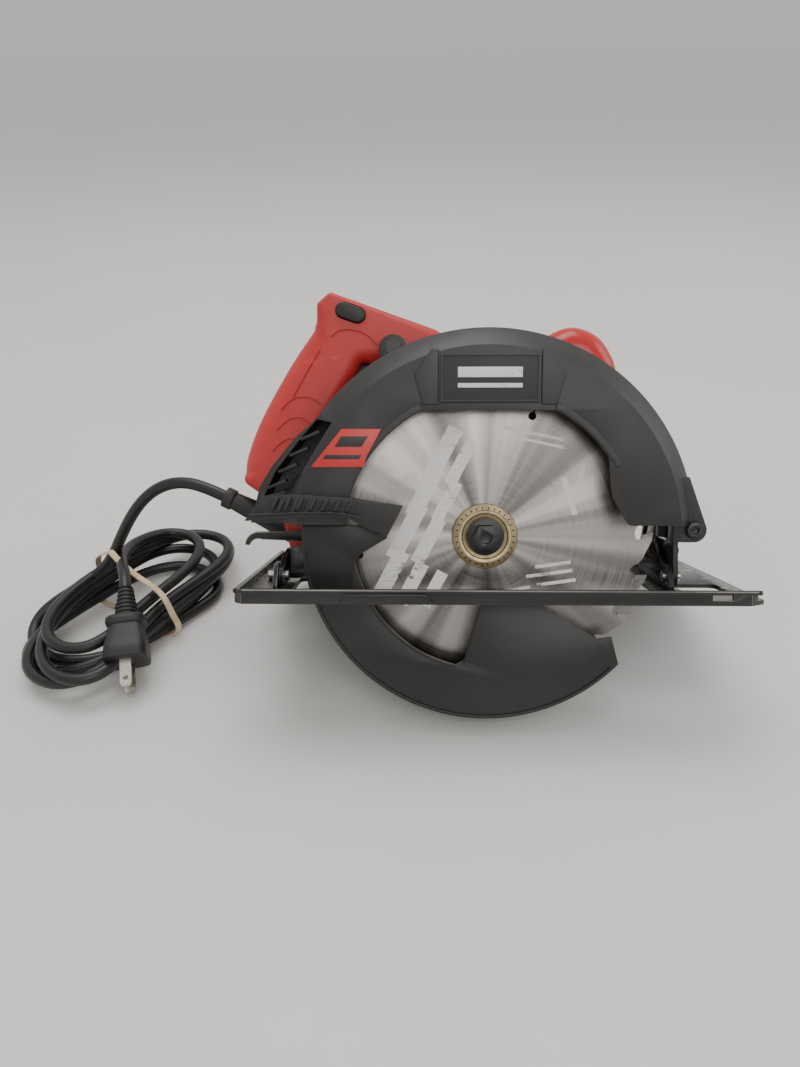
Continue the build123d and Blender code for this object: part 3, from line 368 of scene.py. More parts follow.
def softCopy(name, body, finish, sources, width=0.5, edge=None, segments=2, angle=32):
    # a copy of CAD nodes with its sharp edges eased, as a cast or pressed piece has them
    mesh = bpy.data.meshes.new(name)
    bm = bmesh.new()
    for source in sources:
        bm.from_mesh(nodes[source].data)
    bmesh.ops.remove_doubles(bm, verts=bm.verts, dist=0.00002)
    bmesh.ops.dissolve_limit(bm, angle_limit=math.radians(1.2), verts=bm.verts, edges=bm.edges)
    bm.to_mesh(mesh)
    bm.free()
    obj = newObject(name, mesh)
    for skin in (finish, edge or finish):
        mesh.materials.append(mats[skin])
    ease = obj.modifiers.new("ease", "BEVEL")
    ease.material = 1 if edge else -1
    ease.width = width / 1000
    ease.segments = segments
    ease.limit_method = "ANGLE"
    ease.angle_limit = math.radians(angle)
    ease.miter_outer = "MITER_ARC"
    ease.harden_normals = False
    applied(obj)
    smooth(obj.data, 40)
    return keep(obj, body, None, sources)


def plate(name, outlines, near, far, rounding, steps=4, matrix=None):
    # a flat piece with rounded rims, drawn upright in the saw's X and Z, from near to far along its Y
    curve = bpy.data.curves.new(name, "CURVE")
    curve.dimensions = "2D"
    curve.fill_mode = "BOTH"
    curve.extrude = max(0.00002, (far - near) / 2000 - rounding / 1000)
    curve.bevel_depth = rounding / 1000
    curve.bevel_resolution = steps
    curve.offset = -rounding / 1000
    for points in outlines:
        line = curve.splines.new("POLY")
        line.points.add(len(points) - 1)
        for spot, (x, z) in zip(line.points, points):
            spot.co = (x / 1000, z / 1000, 0, 1)
        line.use_cyclic_u = True
    drawn = newObject(name + "Line", curve)
    bpy.context.view_layer.update()
    mesh = bpy.data.meshes.new_from_object(drawn.evaluated_get(bpy.context.evaluated_depsgraph_get()))
    mesh.name = name
    bpy.data.objects.remove(drawn)
    upright = Matrix.Translation(mm(0, (near + far) / 2, 0)) @ Matrix.Rotation(math.radians(90), 4, "X")
    mesh.transform((matrix or toBench) @ upright)
    bm = bmesh.new()
    bm.from_mesh(mesh)
    bmesh.ops.remove_doubles(bm, verts=bm.verts, dist=0.000005)
    bmesh.ops.recalc_face_normals(bm, faces=bm.faces)
    bm.to_mesh(mesh)
    bm.free()
    smooth(mesh, 38)
    return newObject(name, mesh)


def flowing(points, per=6, closed=True):
    # a smooth line through the points
    out = []
    count = len(points)
    spans = count if closed else count - 1
    for i in range(spans):
        p0, p1, p2, p3 = [points[(i + k) % count] if closed else points[min(max(i + k, 0), count - 1)]
                          for k in (-1, 0, 1, 2)]
        for step in range(per):
            t = step / per
            out.append(tuple(
                0.5 * (2 * b + (c - a) * t + (2 * a - 5 * b + 4 * c - d) * t * t
                       + (3 * b - a - 3 * c + d) * t ** 3)
                for a, b, c, d in zip(p0, p1, p2, p3)))
    if not closed:
        out.append(points[-1])
    return out


def arc(radius, start, stop, steps, x=0.0, z=0.0):
    return [polar(radius, start + (stop - start) * i / steps, x, z) for i in range(steps + 1)]


# the saw's own box is centred on the bench's zero, this far from the arbor's line
offX, offY = 0.75, 76.12


def onBench(x, y, z):
    return Vector(((x - offX) / 1000, (y - offY) / 1000, z / 1000))


# the length is an estimate, not a measurement: the hank may have five turns or six, and five are drawn,
# whose line comes to 1.953 m
cordShape = {"thick": 0.0072, "length": 2.0, "steps": 8}
leadRoute = [(-153.8, 45.9, 94.2), (-166.5, 48.6, 99.6), (-181.0, 52.5, 100.8), (-195.5, 55.5, 96.2),
             (-208.5, 57.5, 86.2), (-219.5, 58.6, 72.5), (-229.0, 59.6, 57.0), (-237.5, 60.8, 41.5),
             (-246.0, 60.5, 31.0), (-258.5, 55.0, 23.0)]
plugRoute = [(-231.5, 61.5, 41.0), (-226.5, 45.5, 45.5), (-220.0, 31.5, 45.0), (-217.4, 22.0, 41.4),
             (-216.6, 18.5, 39.4)]
hank = {
    "x": -226.0, "y": 50.0, "turn": 61, "bulge": 0.55,
    # reach, swing and height of each lobe's end, and how far out it passes the waist on its way out of it
    "rear": [(66, -27, 4.8, 31), (75, -9, 5.2, 31), (85, 9, 11.5, 33), (86, 23, 18.0, 31), (68, 12, 25.0, 28)],
    "front": [(60, -14, 5.0, 33), (72, 6, 10.5, 31), (88, 3, 14.5, 33), (80, -6, 21.5, 30), (64, 8, 28.0, 26)],
    "highIn": [25, 6.5, 13.0, 20.0, 27.0], "highOut": [5.2, 9.5, 15.5, 22.0, 28.5],
}


def hankTurns(shape, steps):
    along = math.radians(shape["turn"])
    route = []
    for k in range(len(shape["rear"])):
        for lobes, facing, start, stop in (
            (shape["rear"], -1, shape["highIn"][k], shape["highOut"][k]),
            (shape["front"], 1, shape["highOut"][k], (shape["highIn"] + [38.0])[k + 1]),
        ):
            reach, swing, high, wide = lobes[k]
            after = shape["front"][k][3] if facing < 0 else (shape["rear"] + [(0, 0, 0, 20)])[k + 1][3]
            for i in range(steps):
                turn = math.pi * i / steps
                s, c = math.sin(turn), math.cos(turn)
                lean = along + math.radians(swing) * s
                across = ((wide + after) / 2 + (wide - after) / 2 * c) * c * (1 + shape["bulge"] * s * s) * -facing
                lift = high + ((start if c > 0 else stop) - high) * c * c
                route.append((
                    shape["x"] + facing * reach * s * math.cos(lean) - across * math.sin(lean),
                    shape["y"] + facing * reach * s * math.sin(lean) + across * math.cos(lean),
                    lift,
                ))
    return route


def cordPoints():
    turns = hankTurns(hank, cordShape["steps"])
    return [onBench(*p) for p in leadRoute + turns[2:] + plugRoute]


def makeCord():
    line = bpy.data.curves.new("powerCord", "CURVE")
    line.dimensions = "3D"
    line.bevel_depth = cordShape["thick"] / 2
    line.bevel_resolution = 5
    line.use_fill_caps = True
    line.resolution_u = 5
    route = cordPoints()
    path = line.splines.new("NURBS")
    path.points.add(len(route) - 1)
    for spot, point in zip(path.points, route):
        spot.co = (*point, 1)
    path.order_u = 3
    path.use_endpoint_u = True
    cord = newObject("powerCord", line)
    keep(cord, "saw", "cord", ["cord_lead", "cord_coil"])
    return cord


powerCord = makeCord()
print("cord laid, points:", len(cordPoints()))


def bandPiece():
    # the stretched rubber band round the waist: it follows what it holds, and creases a little
    shape = {"wide": 4.2, "thick": 0.9}
    along = math.radians(hank["turn"] - 6)
    axis = Vector((math.cos(along), math.sin(along), 0))
    side = Vector((-math.sin(along), math.cos(along), 0))
    # across the waist (towards the rear side), height: the strands' outer corners
    ring = [(-35, 2.2), (-38, 7), (-38.6, 16), (-37, 26), (-30, 33.5), (-15, 39.5), (0, 46.5), (12, 47.5),
            (22, 42), (31, 36.2), (36, 28), (37.6, 18), (37.2, 8), (34, 2.4), (24, 1.2), (0, 1.0), (-24, 1.2)]
    loop = flowing(ring, 7)
    middle = onBench(hank["x"] + 1, hank["y"] - 2, 0)
    bm = bmesh.new()
    rings = []
    count = len(loop)
    for i, (a, z) in enumerate(loop):
        b, c = loop[i - 1], loop[(i + 1) % count]
        tangent = Vector((c[0] - b[0], c[1] - b[1])).normalized()
        out = Vector((-tangent.y, tangent.x))
        if out.dot(Vector((a, z - 18))) < 0:
            out = -out
        drift = 2.6 * math.sin(i / count * 2 * math.pi * 2 + 0.6) + 1.2 * math.sin(i / count * 2 * math.pi * 5)
        twist = 0.35 * math.sin(i / count * 2 * math.pi * 3)
        spots = []
        for w, t in ((-0.5, 0), (-0.42, 1), (0, 1.15), (0.42, 1), (0.5, 0), (0.42, -0.1), (0, 0), (-0.42, -0.1)):
            wide = w * shape["wide"]
            thick = max(0.0, t * shape["thick"]) + twist * wide * 0.3 + 0.3
            place = middle + side * ((a + out.x * thick) / 1000) + axis * ((wide + drift) / 1000)
            place.z = max(0.0009, (z + out.y * thick) / 1000)
            spots.append(bm.verts.new(place))
        rings.append(spots)
    for i in range(count):
        for k in range(8):
            bm.faces.new((rings[i][k], rings[(i + 1) % count][k], rings[(i + 1) % count][(k + 1) % 8],
                          rings[i][(k + 1) % 8]))
    bmesh.ops.recalc_face_normals(bm, faces=bm.faces)
    mesh = bpy.data.meshes.new("rubberBandLoop")
    bm.to_mesh(mesh)
    bm.free()
    smooth(mesh, 60)
    return keep(newObject("rubberBandLoop", mesh), "saw", "band", ["rubber_band"])


rubberBand = bandPiece()


plugAxis = Vector((-0.19, 0.84, 0.5)).normalized()      # from the prongs back to the cord
plugSide = (Vector((0.975, 0.22, 0)) - plugAxis * Vector((0.975, 0.22, 0)).dot(plugAxis)).normalized()
plugUp = plugAxis.cross(plugSide)
plugFace = onBench(-208, -18, 17.5)


def plugSpot(a, b, back):
    return plugFace + plugSide * (a / 1000) + plugUp * (b / 1000) + plugAxis * (back / 1000)


def roundedRing(bm, wide, high, power, back, steps=40):
    ring = []
    for i in range(steps):
        turn = 2 * math.pi * i / steps
        c, s = math.cos(turn), math.sin(turn)
        ring.append(bm.verts.new(plugSpot(
            wide / 2 * math.copysign(abs(c) ** (2 / power), c),
            high / 2 * math.copysign(abs(s) ** (2 / power), s), back)))
    return ring


def bridged(bm, rings):
    steps = len(rings[0])
    for a, b in zip(rings, rings[1:]):
        for i in range(steps):
            bm.faces.new((a[i], a[(i + 1) % steps], b[(i + 1) % steps], b[i]))
    for end in (rings[0], rings[-1]):
        bm.faces.new(end)


def plugPieces():
    bm = bmesh.new()
    # face rim, body, waist, collar
    sections = [(22.4, 22.4, 4.5, 0.0), (24.6, 24.6, 4.8, 0.5), (25.2, 25.2, 4.8, 1.6), (25.2, 25.0, 4.8, 6),
                (24.8, 24.0, 4.5, 10), (23.0, 20.6, 4.2, 14.5), (21.4, 18.4, 4.0, 19), (20.6, 17.2, 4.0, 22.2),
                (22.6, 19.6, 4.0, 23.2), (23.4, 20.4, 4.0, 24.6), (23.2, 20.2, 4.0, 27.0), (21.6, 18.4, 3.6,
                                                                                            28.2),
                (15.0, 13.6, 2.6, 28.6)]
    bridged(bm, [roundedRing(bm, *one) for one in sections])
    # the tail, ribbed so that it bends
    tail = [roundedRing(bm, 14.4, 12.8, 2.4, 28.2)]
    for k in range(7):
        at = 28.8 + 2.75 * k
        size = 14.2 - 0.78 * k
        for grow, step in ((0, 0), (0, 1.25), (-2.4, 1.4), (-2.4, 2.6)):
            tail.append(roundedRing(bm, size + grow, (size + grow) * 0.92, 2.2, at + step))
    tail.append(roundedRing(bm, 8.6, 8.6, 2.0, 48.2))
    bridged(bm, tail)
    bmesh.ops.recalc_face_normals(bm, faces=bm.faces)
    mesh = bpy.data.meshes.new("plugMoulding")
    bm.to_mesh(mesh)
    bm.free()
    smooth(mesh, 35)
    body = keep(newObject("plugMoulding", mesh), "saw", "matteBlack", ["plug_body"])
    # two flat prongs with rounded tips and a hole near the end
    bm = bmesh.new()
    outline = [(-3.2, 0.5), (-3.2, -14.2), (-2.2, -16.6), (2.2, -16.6), (3.2, -14.2), (3.2, 0.5)]
    hole = [(1.6 * math.cos(a * math.pi / 6), -11.6 + 1.6 * math.sin(a * math.pi / 6)) for a in range(12)]
    for at in (-6.35, 6.35):
        for face in (-0.8, 0.8):
            rim = [bm.verts.new(plugSpot(a, at + face, b)) for a, b in outline]
            eye = [bm.verts.new(plugSpot(a, at + face, b)) for a, b in hole]
            edges = [bm.edges.new((r[i], r[(i + 1) % len(r)])) for r in (rim, eye) for i in range(len(r))]
            bmesh.ops.triangle_fill(bm, use_beauty=True, edges=edges)
            if face < 0:
                low = (rim, eye)
        for first, second in zip(low, (rim, eye)):
            for i in range(len(first)):
                j = (i + 1) % len(first)
                bm.faces.new((first[i], first[j], second[j], second[i]))
    bmesh.ops.recalc_face_normals(bm, faces=bm.faces)
    mesh = bpy.data.meshes.new("plugBlades")
    bm.to_mesh(mesh)
    bm.free()
    smooth(mesh, 30)
    blades = keep(newObject("plugBlades", mesh), "saw", "prong", ["plug_prongs"])
    return body, blades


plugMoulding, plugBlades = plugPieces()
leadRelief = softCopy("cordRelief", "saw", "matteBlack", ["strain_relief"], 0.6)
print("plug and band made")


# what repeats: one small piece set out in a row or round an axis
def repeatTree():
    tree = bpy.data.node_groups.new("setOut", "GeometryNodeTree")
    for label, kind in (("Piece", "NodeSocketObject"), ("Count", "NodeSocketInt"), ("Step", "NodeSocketVector"),
                        ("Turn", "NodeSocketVector"), ("Finish", "NodeSocketMaterial")):
        tree.interface.new_socket(label, in_out="INPUT", socket_type=kind)
    tree.interface.new_socket("Geometry", in_out="OUTPUT", socket_type="NodeSocketGeometry")
    add = tree.nodes.new
    given, out = add("NodeGroupInput"), add("NodeGroupOutput")
    line, index, turn = add("GeometryNodeMeshLine"), add("GeometryNodeInputIndex"), add("ShaderNodeVectorMath")
    turn.operation = "SCALE"
    place, info = add("GeometryNodeInstanceOnPoints"), add("GeometryNodeObjectInfo")
    solid, skin = add("GeometryNodeRealizeInstances"), add("GeometryNodeSetMaterial")
    for source, target in (
        (given.outputs["Count"], line.inputs["Count"]), (given.outputs["Step"], line.inputs["Offset"]),
        (given.outputs["Turn"], turn.inputs[0]), (index.outputs[0], turn.inputs["Scale"]),
        (given.outputs["Piece"], info.inputs["Object"]), (line.outputs[0], place.inputs["Points"]),
        (info.outputs["Geometry"], place.inputs["Instance"]), (turn.outputs[0], place.inputs["Rotation"]),
        (place.outputs[0], solid.inputs[0]), (solid.outputs[0], skin.inputs["Geometry"]),
        (given.outputs["Finish"], skin.inputs["Material"]), (skin.outputs[0], out.inputs[0]),
    ):
        tree.links.new(source, target)
    return tree


setOut = repeatTree()


def repeated(name, body, finish, piece, count, step=(0, 0, 0), turn=(0, 0, 0), matrix=None):
    # step in mm, turn in degrees; the small piece is used up
    holder = newObject(name, bpy.data.meshes.new(name + "Seed"))
    mod = holder.modifiers.new("setOut", "NODES")
    mod.node_group = setOut
    given = {"Piece": piece, "Count": count, "Step": mm(*step), "Turn": Vector(math.radians(t) for t in turn),
             "Finish": mats[finish]}
    for socket in setOut.interface.items_tree:
        if socket.in_out == "INPUT":
            mod[socket.identifier] = given[socket.name]
    applied(holder)
    bpy.data.objects.remove(piece)
    holder.data.name = name
    holder.data.transform(matrix or toBench)
    smooth(holder.data, 35)
    return keep(holder, body)


def shaped(name, outline, near, far, ease=0.3):
    # small flat piece in the saw's own frame, before it is set out
    return plate(name, [outline], near, far, ease, 2, matrix=Matrix.Identity(4))


def turned(name, profile, steps=72, matrix=None):
    # lathe work about an axis along the saw's Y: profile is (radius, y) in mm
    bm = bmesh.new()
    rings = []
    for radius, y in profile:
        if radius < 0.01:
            rings.append([bm.verts.new(mm(0, y, 0))])
        else:
            rings.append([bm.verts.new(mm(radius * math.cos(2 * math.pi * i / steps), y,
                                          radius * math.sin(2 * math.pi * i / steps))) for i in range(steps)])
    for a, b in zip(rings, rings[1:]):
        for i in range(steps):
            j = (i + 1) % steps
            if len(a) == 1 and len(b) > 1:
                bm.faces.new((a[0], b[j], b[i]))
            elif len(b) == 1 and len(a) > 1:
                bm.faces.new((a[i], a[j], b[0]))
            elif len(a) > 1:
                bm.faces.new((a[i], a[j], b[j], b[i]))
    bmesh.ops.recalc_face_normals(bm, faces=bm.faces)
    mesh = bpy.data.meshes.new(name)
    bm.to_mesh(mesh)
    bm.free()
    mesh.transform(matrix or toBench)
    smooth(mesh, 30)
    return newObject(name, mesh)


def filleted(corners, steps=5):
    # corners are (x, z, fillet, rim rounding); long runs get points in between
    out = []
    count = len(corners)
    for i, (x, z, fillet, rim) in enumerate(corners):
        here = Vector((x, z))
        before, after = (Vector(corners[(i + k) % count][:2]) for k in (-1, 1))
        toBefore, toAfter = before - here, after - here
        half = toBefore.angle(toAfter) / 2
        if fillet < 0.05 or half > math.radians(86):
            out.append((x, z, rim))
            continue
        reach = min(fillet / math.tan(half), toBefore.length * 0.49, toAfter.length * 0.49)
        start, stop = here + toBefore.normalized() * reach, here + toAfter.normalized() * reach
        for k in range(steps + 1):
            t = k / steps
            spot = start * (1 - t) ** 2 + here * (2 * t * (1 - t)) + stop * t * t
            out.append((spot.x, spot.y, rim))
    dense = []
    for a, b in zip(out, out[1:] + out[:1]):
        gap = math.dist(a[:2], b[:2])
        parts = max(1, int(gap / 3))
        for k in range(parts):
            t = k / parts
            dense.append(tuple(p + (q - p) * t for p, q in zip(a, b)))
    return dense


def cushioned(name, loops, near, far, steps=6):
    # moulded piece between two planes of the saw, its rims rounded by each point's own amount
    half, middle = (far - near) / 2, (far + near) / 2
    bm = bmesh.new()
    inner = {-1: [], 1: []}
    for number, loop in enumerate(loops):
        count = len(loop)
        area = sum(a[0] * b[1] - b[0] * a[1] for a, b in zip(loop, loop[1:] + loop[:1]))
        facing = (1 if area > 0 else -1) * (-1 if number else 1)
        inward = []
        for i in range(count):
            run = Vector(loop[(i + 1) % count][:2]) - Vector(loop[i - 1][:2])
            inward.append(Vector((-run.y, run.x)).normalized() * facing)
        for _ in range(3):
            inward = [(inward[i - 1] + inward[i] * 2 + inward[(i + 1) % count]).normalized() for i in range(count)]
        levels = []
        for side, order in ((-1, range(steps, -1, -1)), (1, range(steps + 1))):
            for k in order:
                turn = math.pi / 2 * k / steps
                ring = []
                for (x, z, rim), way in zip(loop, inward):
                    into = way * rim * (1 - math.cos(turn))
                    y = middle + side * (half - rim * (1 - math.sin(turn)))
                    ring.append(bm.verts.new(mm(x + into.x, y, z + into.y)))
                levels.append(ring)
                if k == steps:
                    inner[side].append(ring)
        for a, b in zip(levels, levels[1:]):
            for i in range(count):
                j = (i + 1) % count
                bm.faces.new((a[i], a[j], b[j], b[i]))
    for side in (-1, 1):
        edges = [bm.edges.get((ring[i], ring[(i + 1) % len(ring)]))
                 for ring in inner[side] for i in range(len(ring))]
        bmesh.ops.triangle_fill(bm, use_beauty=True, edges=[e for e in edges if e])
    bmesh.ops.remove_doubles(bm, verts=bm.verts, dist=0.00002)
    bmesh.ops.recalc_face_normals(bm, faces=bm.faces)
    mesh = bpy.data.meshes.new(name)
    bm.to_mesh(mesh)
    bm.free()
    mesh.transform(toBench)
    smooth(mesh, 42)
    return newObject(name, mesh)


def bead(name, body, finish, points, radius):
    # a raised moulded line that follows the points (x, y, z in the saw's frame)
    line = bpy.data.curves.new(name, "CURVE")
    line.dimensions = "3D"
    line.bevel_depth = radius / 1000
    line.bevel_resolution = 2
    line.use_fill_caps = True
    path = line.splines.new("POLY")
    path.points.add(len(points) - 1)
    for spot, point in zip(path.points, points):
        spot.co = (*mm(*point), 1)
    drawn = newObject(name + "Line", line)
    bpy.context.view_layer.update()
    mesh = bpy.data.meshes.new_from_object(drawn.evaluated_get(bpy.context.evaluated_depsgraph_get()))
    bpy.data.objects.remove(drawn)
    mesh.name = name
    mesh.transform(toBench)
    smooth(mesh, 50)
    return keep(newObject(name, mesh), body, finish)


easedParts = [
    # piece, body, finish, CAD nodes, how much its edges are eased, the eased edge's own finish
    ("guardShell", "saw", "guardCoat", ["upper_guard"], 0.6, "guardEdge"),
    ("gearCase", "saw", "guardCoat", ["gear_housing"], 0.5),
    ("gearLid", "saw", "guardCoat", ["gear_cover"], 0.5),
    ("motorBarrel", "saw", "motorShell", ["motor_housing"], 0.6),
    ("motorCap", "saw", "motorShell", ["motor_end_cap"], 0.7),
    ("lowerShell", "swing_guard", "lowerCoat", ["lower_guard"], 0.6, "guardEdge"),
    ("liftHandle", "swing_guard", "matteBlack", ["lift_lever"], 0.5),
    ("soleSheet", "base", "baseEnamel", ["base_plate"], 0.4, "enamelEdge"),
    ("frontQuadrant", "base", "baseEnamel", ["front_quadrant"], 0.35, "enamelEdge"),
    ("rearLug", "base", "baseEnamel", ["rear_lug"], 0.35, "enamelEdge"),
    ("frontBracket", "depth_frame", "baseEnamel", ["front_bracket"], 0.4, "enamelEdge"),
    ("depthBracket", "depth_frame", "baseEnamel", ["depth_bracket"], 0.4, "enamelEdge"),
    ("depthLever", "depth_lever", "baseEnamel", ["depth_lock_lever"], 0.5, "enamelEdge"),
    ("bevelKnob", "bevel_knob", "matteBlack", ["bevel_lock_knob"], 0.3),
    ("triggerBlade", "trigger_arm", "matteBlack", ["trigger"], 1.2),
    ("lockOffButton", "lock_off", "matteBlack", ["lock_off_button"], 1.0),
    ("pivotScrew", "saw", "blackOxide", ["depth_pivot_screw"], 0.3),
]
for easedPart in easedParts:
    softCopy(*easedPart)
print("pressed and cast parts eased:", len(easedParts))


motorLine = (-10.0, 25.08)
handleShape = {"near": 26, "far": 62, "hug": 47.6}
rearOutline = filleted(
    [(-26, 115.5, 12, 7), (-87.3, 136.5, 3, 3), (-94.9, 130.3, 3.5, 3.5), (-95.6, 119.5, 6, 6)]
    + [(x, z, 0, 11) for x, z in flowing([(-97.5, 115.5), (-112, 94.6), (-129, 65), (-137.5, 44),
                                          (-139.3, 33)], 6,
                                         closed=False)]
    + [(-139.5, 27.5, 5, 6), (-119, 13, 8, 6), (-112, -14, 6, 5), (-58, -18, 3, 3)]
    + [(x, z, 0, 2) for x, z in arc(handleShape["hug"], 224, 86, 18, *motorLine)]
    + [(-7, 100, 12, 5)])
gapOutline = filleted(
    [(-52, 96, 7, 8), (-70, 97, 7, 8)]
    + [(x, z, 0, 8) for x, z in flowing([(-72, 92), (-82, 74), (-97, 50), (-100.4, 39)], 6, closed=False)]
    + [(-101, 30, 7, 7), (-94, 26, 6, 7), (-66, 26, 7, 7), (-63.4, 56, 20, 8)])
rearHandle = cushioned("rearHandle", [rearOutline, gapOutline], handleShape["near"], handleShape["far"])


def pocketed(obj, center, reach, radius, tilt, near, far):
    # cuts the button's oval pocket into the handle
    run = Vector((math.cos(math.radians(tilt)), math.sin(math.radians(tilt))))
    rim = []
    for sign, start in ((1, tilt - 90), (-1, tilt + 90)):
        x, z = Vector(center) + run * reach * sign
        rim += [polar(radius, start + 180 * i / 12, x, z) for i in range(13)]
    cutter = plate("pocketCutter", [rim], near, far, 0.05, 1)
    cut = obj.modifiers.new("pocket", "BOOLEAN")
    cut.operation = "DIFFERENCE"
    cut.solver = "EXACT"
    cut.object = cutter
    applied(obj)
    bpy.data.objects.remove(cutter)
    smooth(obj.data, 42)


buttonPlace = {"center": (-75.5, 124.5), "reach": 4.1, "radius": 4.9, "tilt": -19, "near": 22, "far": 34.5}
pocketed(rearHandle, *buttonPlace.values())
keep(rearHandle, "saw", "gripRed", ["handle_near_half", "handle_far_half"])
frontOutline = filleted(
    [(*polar(handleShape["hug"], 60, *motorLine), 4, 3), (24, 96, 9, 9)]
    + [(x, z, 0, 13) for x, z in flowing([(30, 104.5), (38, 113), (54, 119.5), (70, 114), (80, 100),
                                          (83, 86)], 5,
                                         closed=False)]
    + [(82.5, 81, 7, 10), (78, 74, 8, 10), (62, 68, 12, 8), (46, 56, 12, 6)]
    + [(x, z, 0, 2) for x, z in arc(handleShape["hug"], 20, 56, 6, *motorLine)])
keep(cushioned("frontHandle", [frontOutline], 40, 76), "saw", "glossRed", ["front_handle"])


def onGrip(points, y):
    return [(x, y, z) for x, z in flowing(points, 6, closed=False)]


# moulded lines on both faces of the rear handle, and the seam between its halves
gripLines = [
    [(-87, 111), (-80, 115), (-68, 113), (-60, 106)], [(-93, 104), (-101, 91), (-109, 77)],
    [(-116, 70), (-109, 76), (-100, 77), (-93, 73)], [(-119, 58), (-112, 64), (-105, 65.5), (-99, 62)],
    [(-121.5, 46), (-115, 52), (-109, 53.5), (-104.5, 51)],
]
for number, gripLine in enumerate(gripLines):
    for face, y in (("Near", 25.9), ("Far", 62.1)):
        bead(f"gripLine{face}{number}", "saw", "gripShade", onGrip(gripLine, y), 0.42)
seamRun = [(x, 44.0, z) for x, z, rim in rearOutline if not (x > -66 and z < 76)]
bead("gripSeam", "saw", "gripShade", seamRun, 0.35)
print("handles moulded")


def bars(name, body, finish, places, face, high=0.16):
    # plain printed or moulded bars: centre x, centre z, width, height, slant
    rows = []
    for cx, cz, wide, tall, slant in places:
        rows.append([(cx - wide / 2 - slant / 2, cz - tall / 2), (cx + wide / 2 - slant / 2, cz - tall / 2),
                     (cx + wide / 2 + slant / 2, cz + tall / 2), (cx - wide / 2 + slant / 2, cz + tall / 2)])
    return keep(plate(name, rows, face - high, face + 0.05, 0.05, 1), body, finish)


badge = {"face": -24.6, "x": 25.5, "low": 71.8, "high": 96.3}
badgeRim = [(-badge["x"], badge["low"]), (badge["x"], badge["low"]), (badge["x"], badge["high"]),
            (-badge["x"], badge["high"])]
keep(plate("badgePlate", [badgeRim], badge["face"], -22.9, 0.35, 2), "saw", "matteBlack", ["guard_badge"])
keep(plate("badgeBorder", [badgeRim, [(x * 0.953, z * 0.905 + 8.0) for x, z in badgeRim]], badge["face"] - 0.45,
           badge["face"] + 0.3, 0.2, 2), "saw", "guardCoat")
bars("badgeStripes", "saw", "ink", [(0, 86.9, 33, 5.2, 0), (0, 80.2, 33, 2.2, 0)], badge["face"])
shelfLeft = [(-39, 86), (-30.2, 98.6), (-26.4, 98.6), (-26.4, 70.5), (-34.5, 70.5)]
for sideName, flip in (("Left", 1), ("Right", -1)):
    shelf = [(x * flip, z) for x, z in shelfLeft][::flip]
    keep(plate("badgeShelf" + sideName, [shelf], -23.9, -22.6, 0.5, 3), "saw", "guardCoat")
trimRun = {"Left": (151, 117), "Right": (64, 30)}
for sideName, (start, stop) in trimRun.items():
    rim = arc(76.2, start, stop, 26) + arc(79.8, stop, start, 26)
    keep(plate("windowTrim" + sideName, [rim], -23.45, -21.5, 0.4, 3), "saw", "guardCoat")
labelRim = [(-76.5, 58.1), (-55.8, 58.1), (-63.7, 43.7), (-64.9, 38.4), (-92.6, 38.4)]
keep(plate("amperageLabel", [labelRim], -23.6, -22.95, 0.12, 1), "saw", "labelRed", ["rating_label"])
bars("labelBars", "saw", "blackPrint", [(-71.4, 51.6, 14, 5.4, 3.4), (-76.2, 43.6, 19, 2.2, 1.4)], -23.6,
     high=0.12)

# the chip chute: a dark throat with ribs behind its lip
chuteRib = shaped("chuteRibSeed", [(-117.5, 27.5), (-116.5, 26.2), (-106.6, 30.2), (-107.4, 31.8)], -16, -9,
                  0.35)
repeated("chuteRibs", "saw", "matteBlack", chuteRib, 4, step=(6.0, 0, 8.6))
print("guard dressed")


rimRun = [(x, -16.0, z) for x, z in arc(97.6, 184, 314, 64)]
bead("lowerRimBead", "swing_guard", "lowerCoat", rimRun, 0.7)
innerRun = [(x, -16.0, z) for x, z in arc(72.2, 203, 257, 30)]
bead("lowerInnerBead", "swing_guard", "lowerCoat", innerRun, 0.6)
webRun = [(-3.4, -16.0, -38), (-11.6, -16.0, -68)]
bead("lowerWebBead", "swing_guard", "lowerCoat", webRun, 0.6)
leverNotch = shaped("leverNotchSeed", [(-112.4, 17.6), (-110.4, 17.6), (-107.6, 23.4), (-109.6, 23.4)], -34.2,
                    -31.5, 0.4)
repeated("leverRidges", "swing_guard", "matteBlack", leverNotch, 7, step=(6.4, 0, -0.25))
leverRail = [(x, -32.9, z) for x, z in flowing([(-123, 14.0), (-110, 14.8), (-92, 15.4), (-76, 14.9),
                                                (-66, 12.6)],
                                              6, closed=False)]
bead("leverRail", "swing_guard", "matteBlack", leverRail, 0.7)


flangeRings = [(5.9, -3.2), (9.6, -3.2), (9.9, -3.5), (12.2, -3.9), (12.5, -4.4), (12.9, -4.6), (14.2, -4.6),
               (14.5, -4.35), (17.2, -4.1), (17.8, -3.8), (18.0, -3.3), (18.0, -0.65), (17.7, -0.6), (5.9, -0.6),
               (5.9, -3.2)]
keep(turned("clampWasher", flangeRings, steps=96), "blade_set", "brass", ["outer_flange"])
washerTick = shaped("washerTickSeed", [(15.0, -0.35), (16.4, -0.35), (16.4, 0.35), (15.0, 0.35)], -4.35,
                    -4.05, 0.08)
repeated("washerMarks", "blade_set", "blackOxide", washerTick, 30, turn=(0, 12, 0))
softCopy("arborBolt", "blade_set", "blackOxide", ["blade_bolt"], 0.4)
print("blade fixing turned")


def onSole(x0, x1, y, wide=0.5, high=0.14):
    # a mark lying on the sole's top
    rim = [(x0, -29.05), (x1, -29.05), (x1, -29 + high), (x0, -29 + high)]
    return plate("markSeed", [rim], y, y + wide, 0.03, 1, matrix=Matrix.Identity(4))


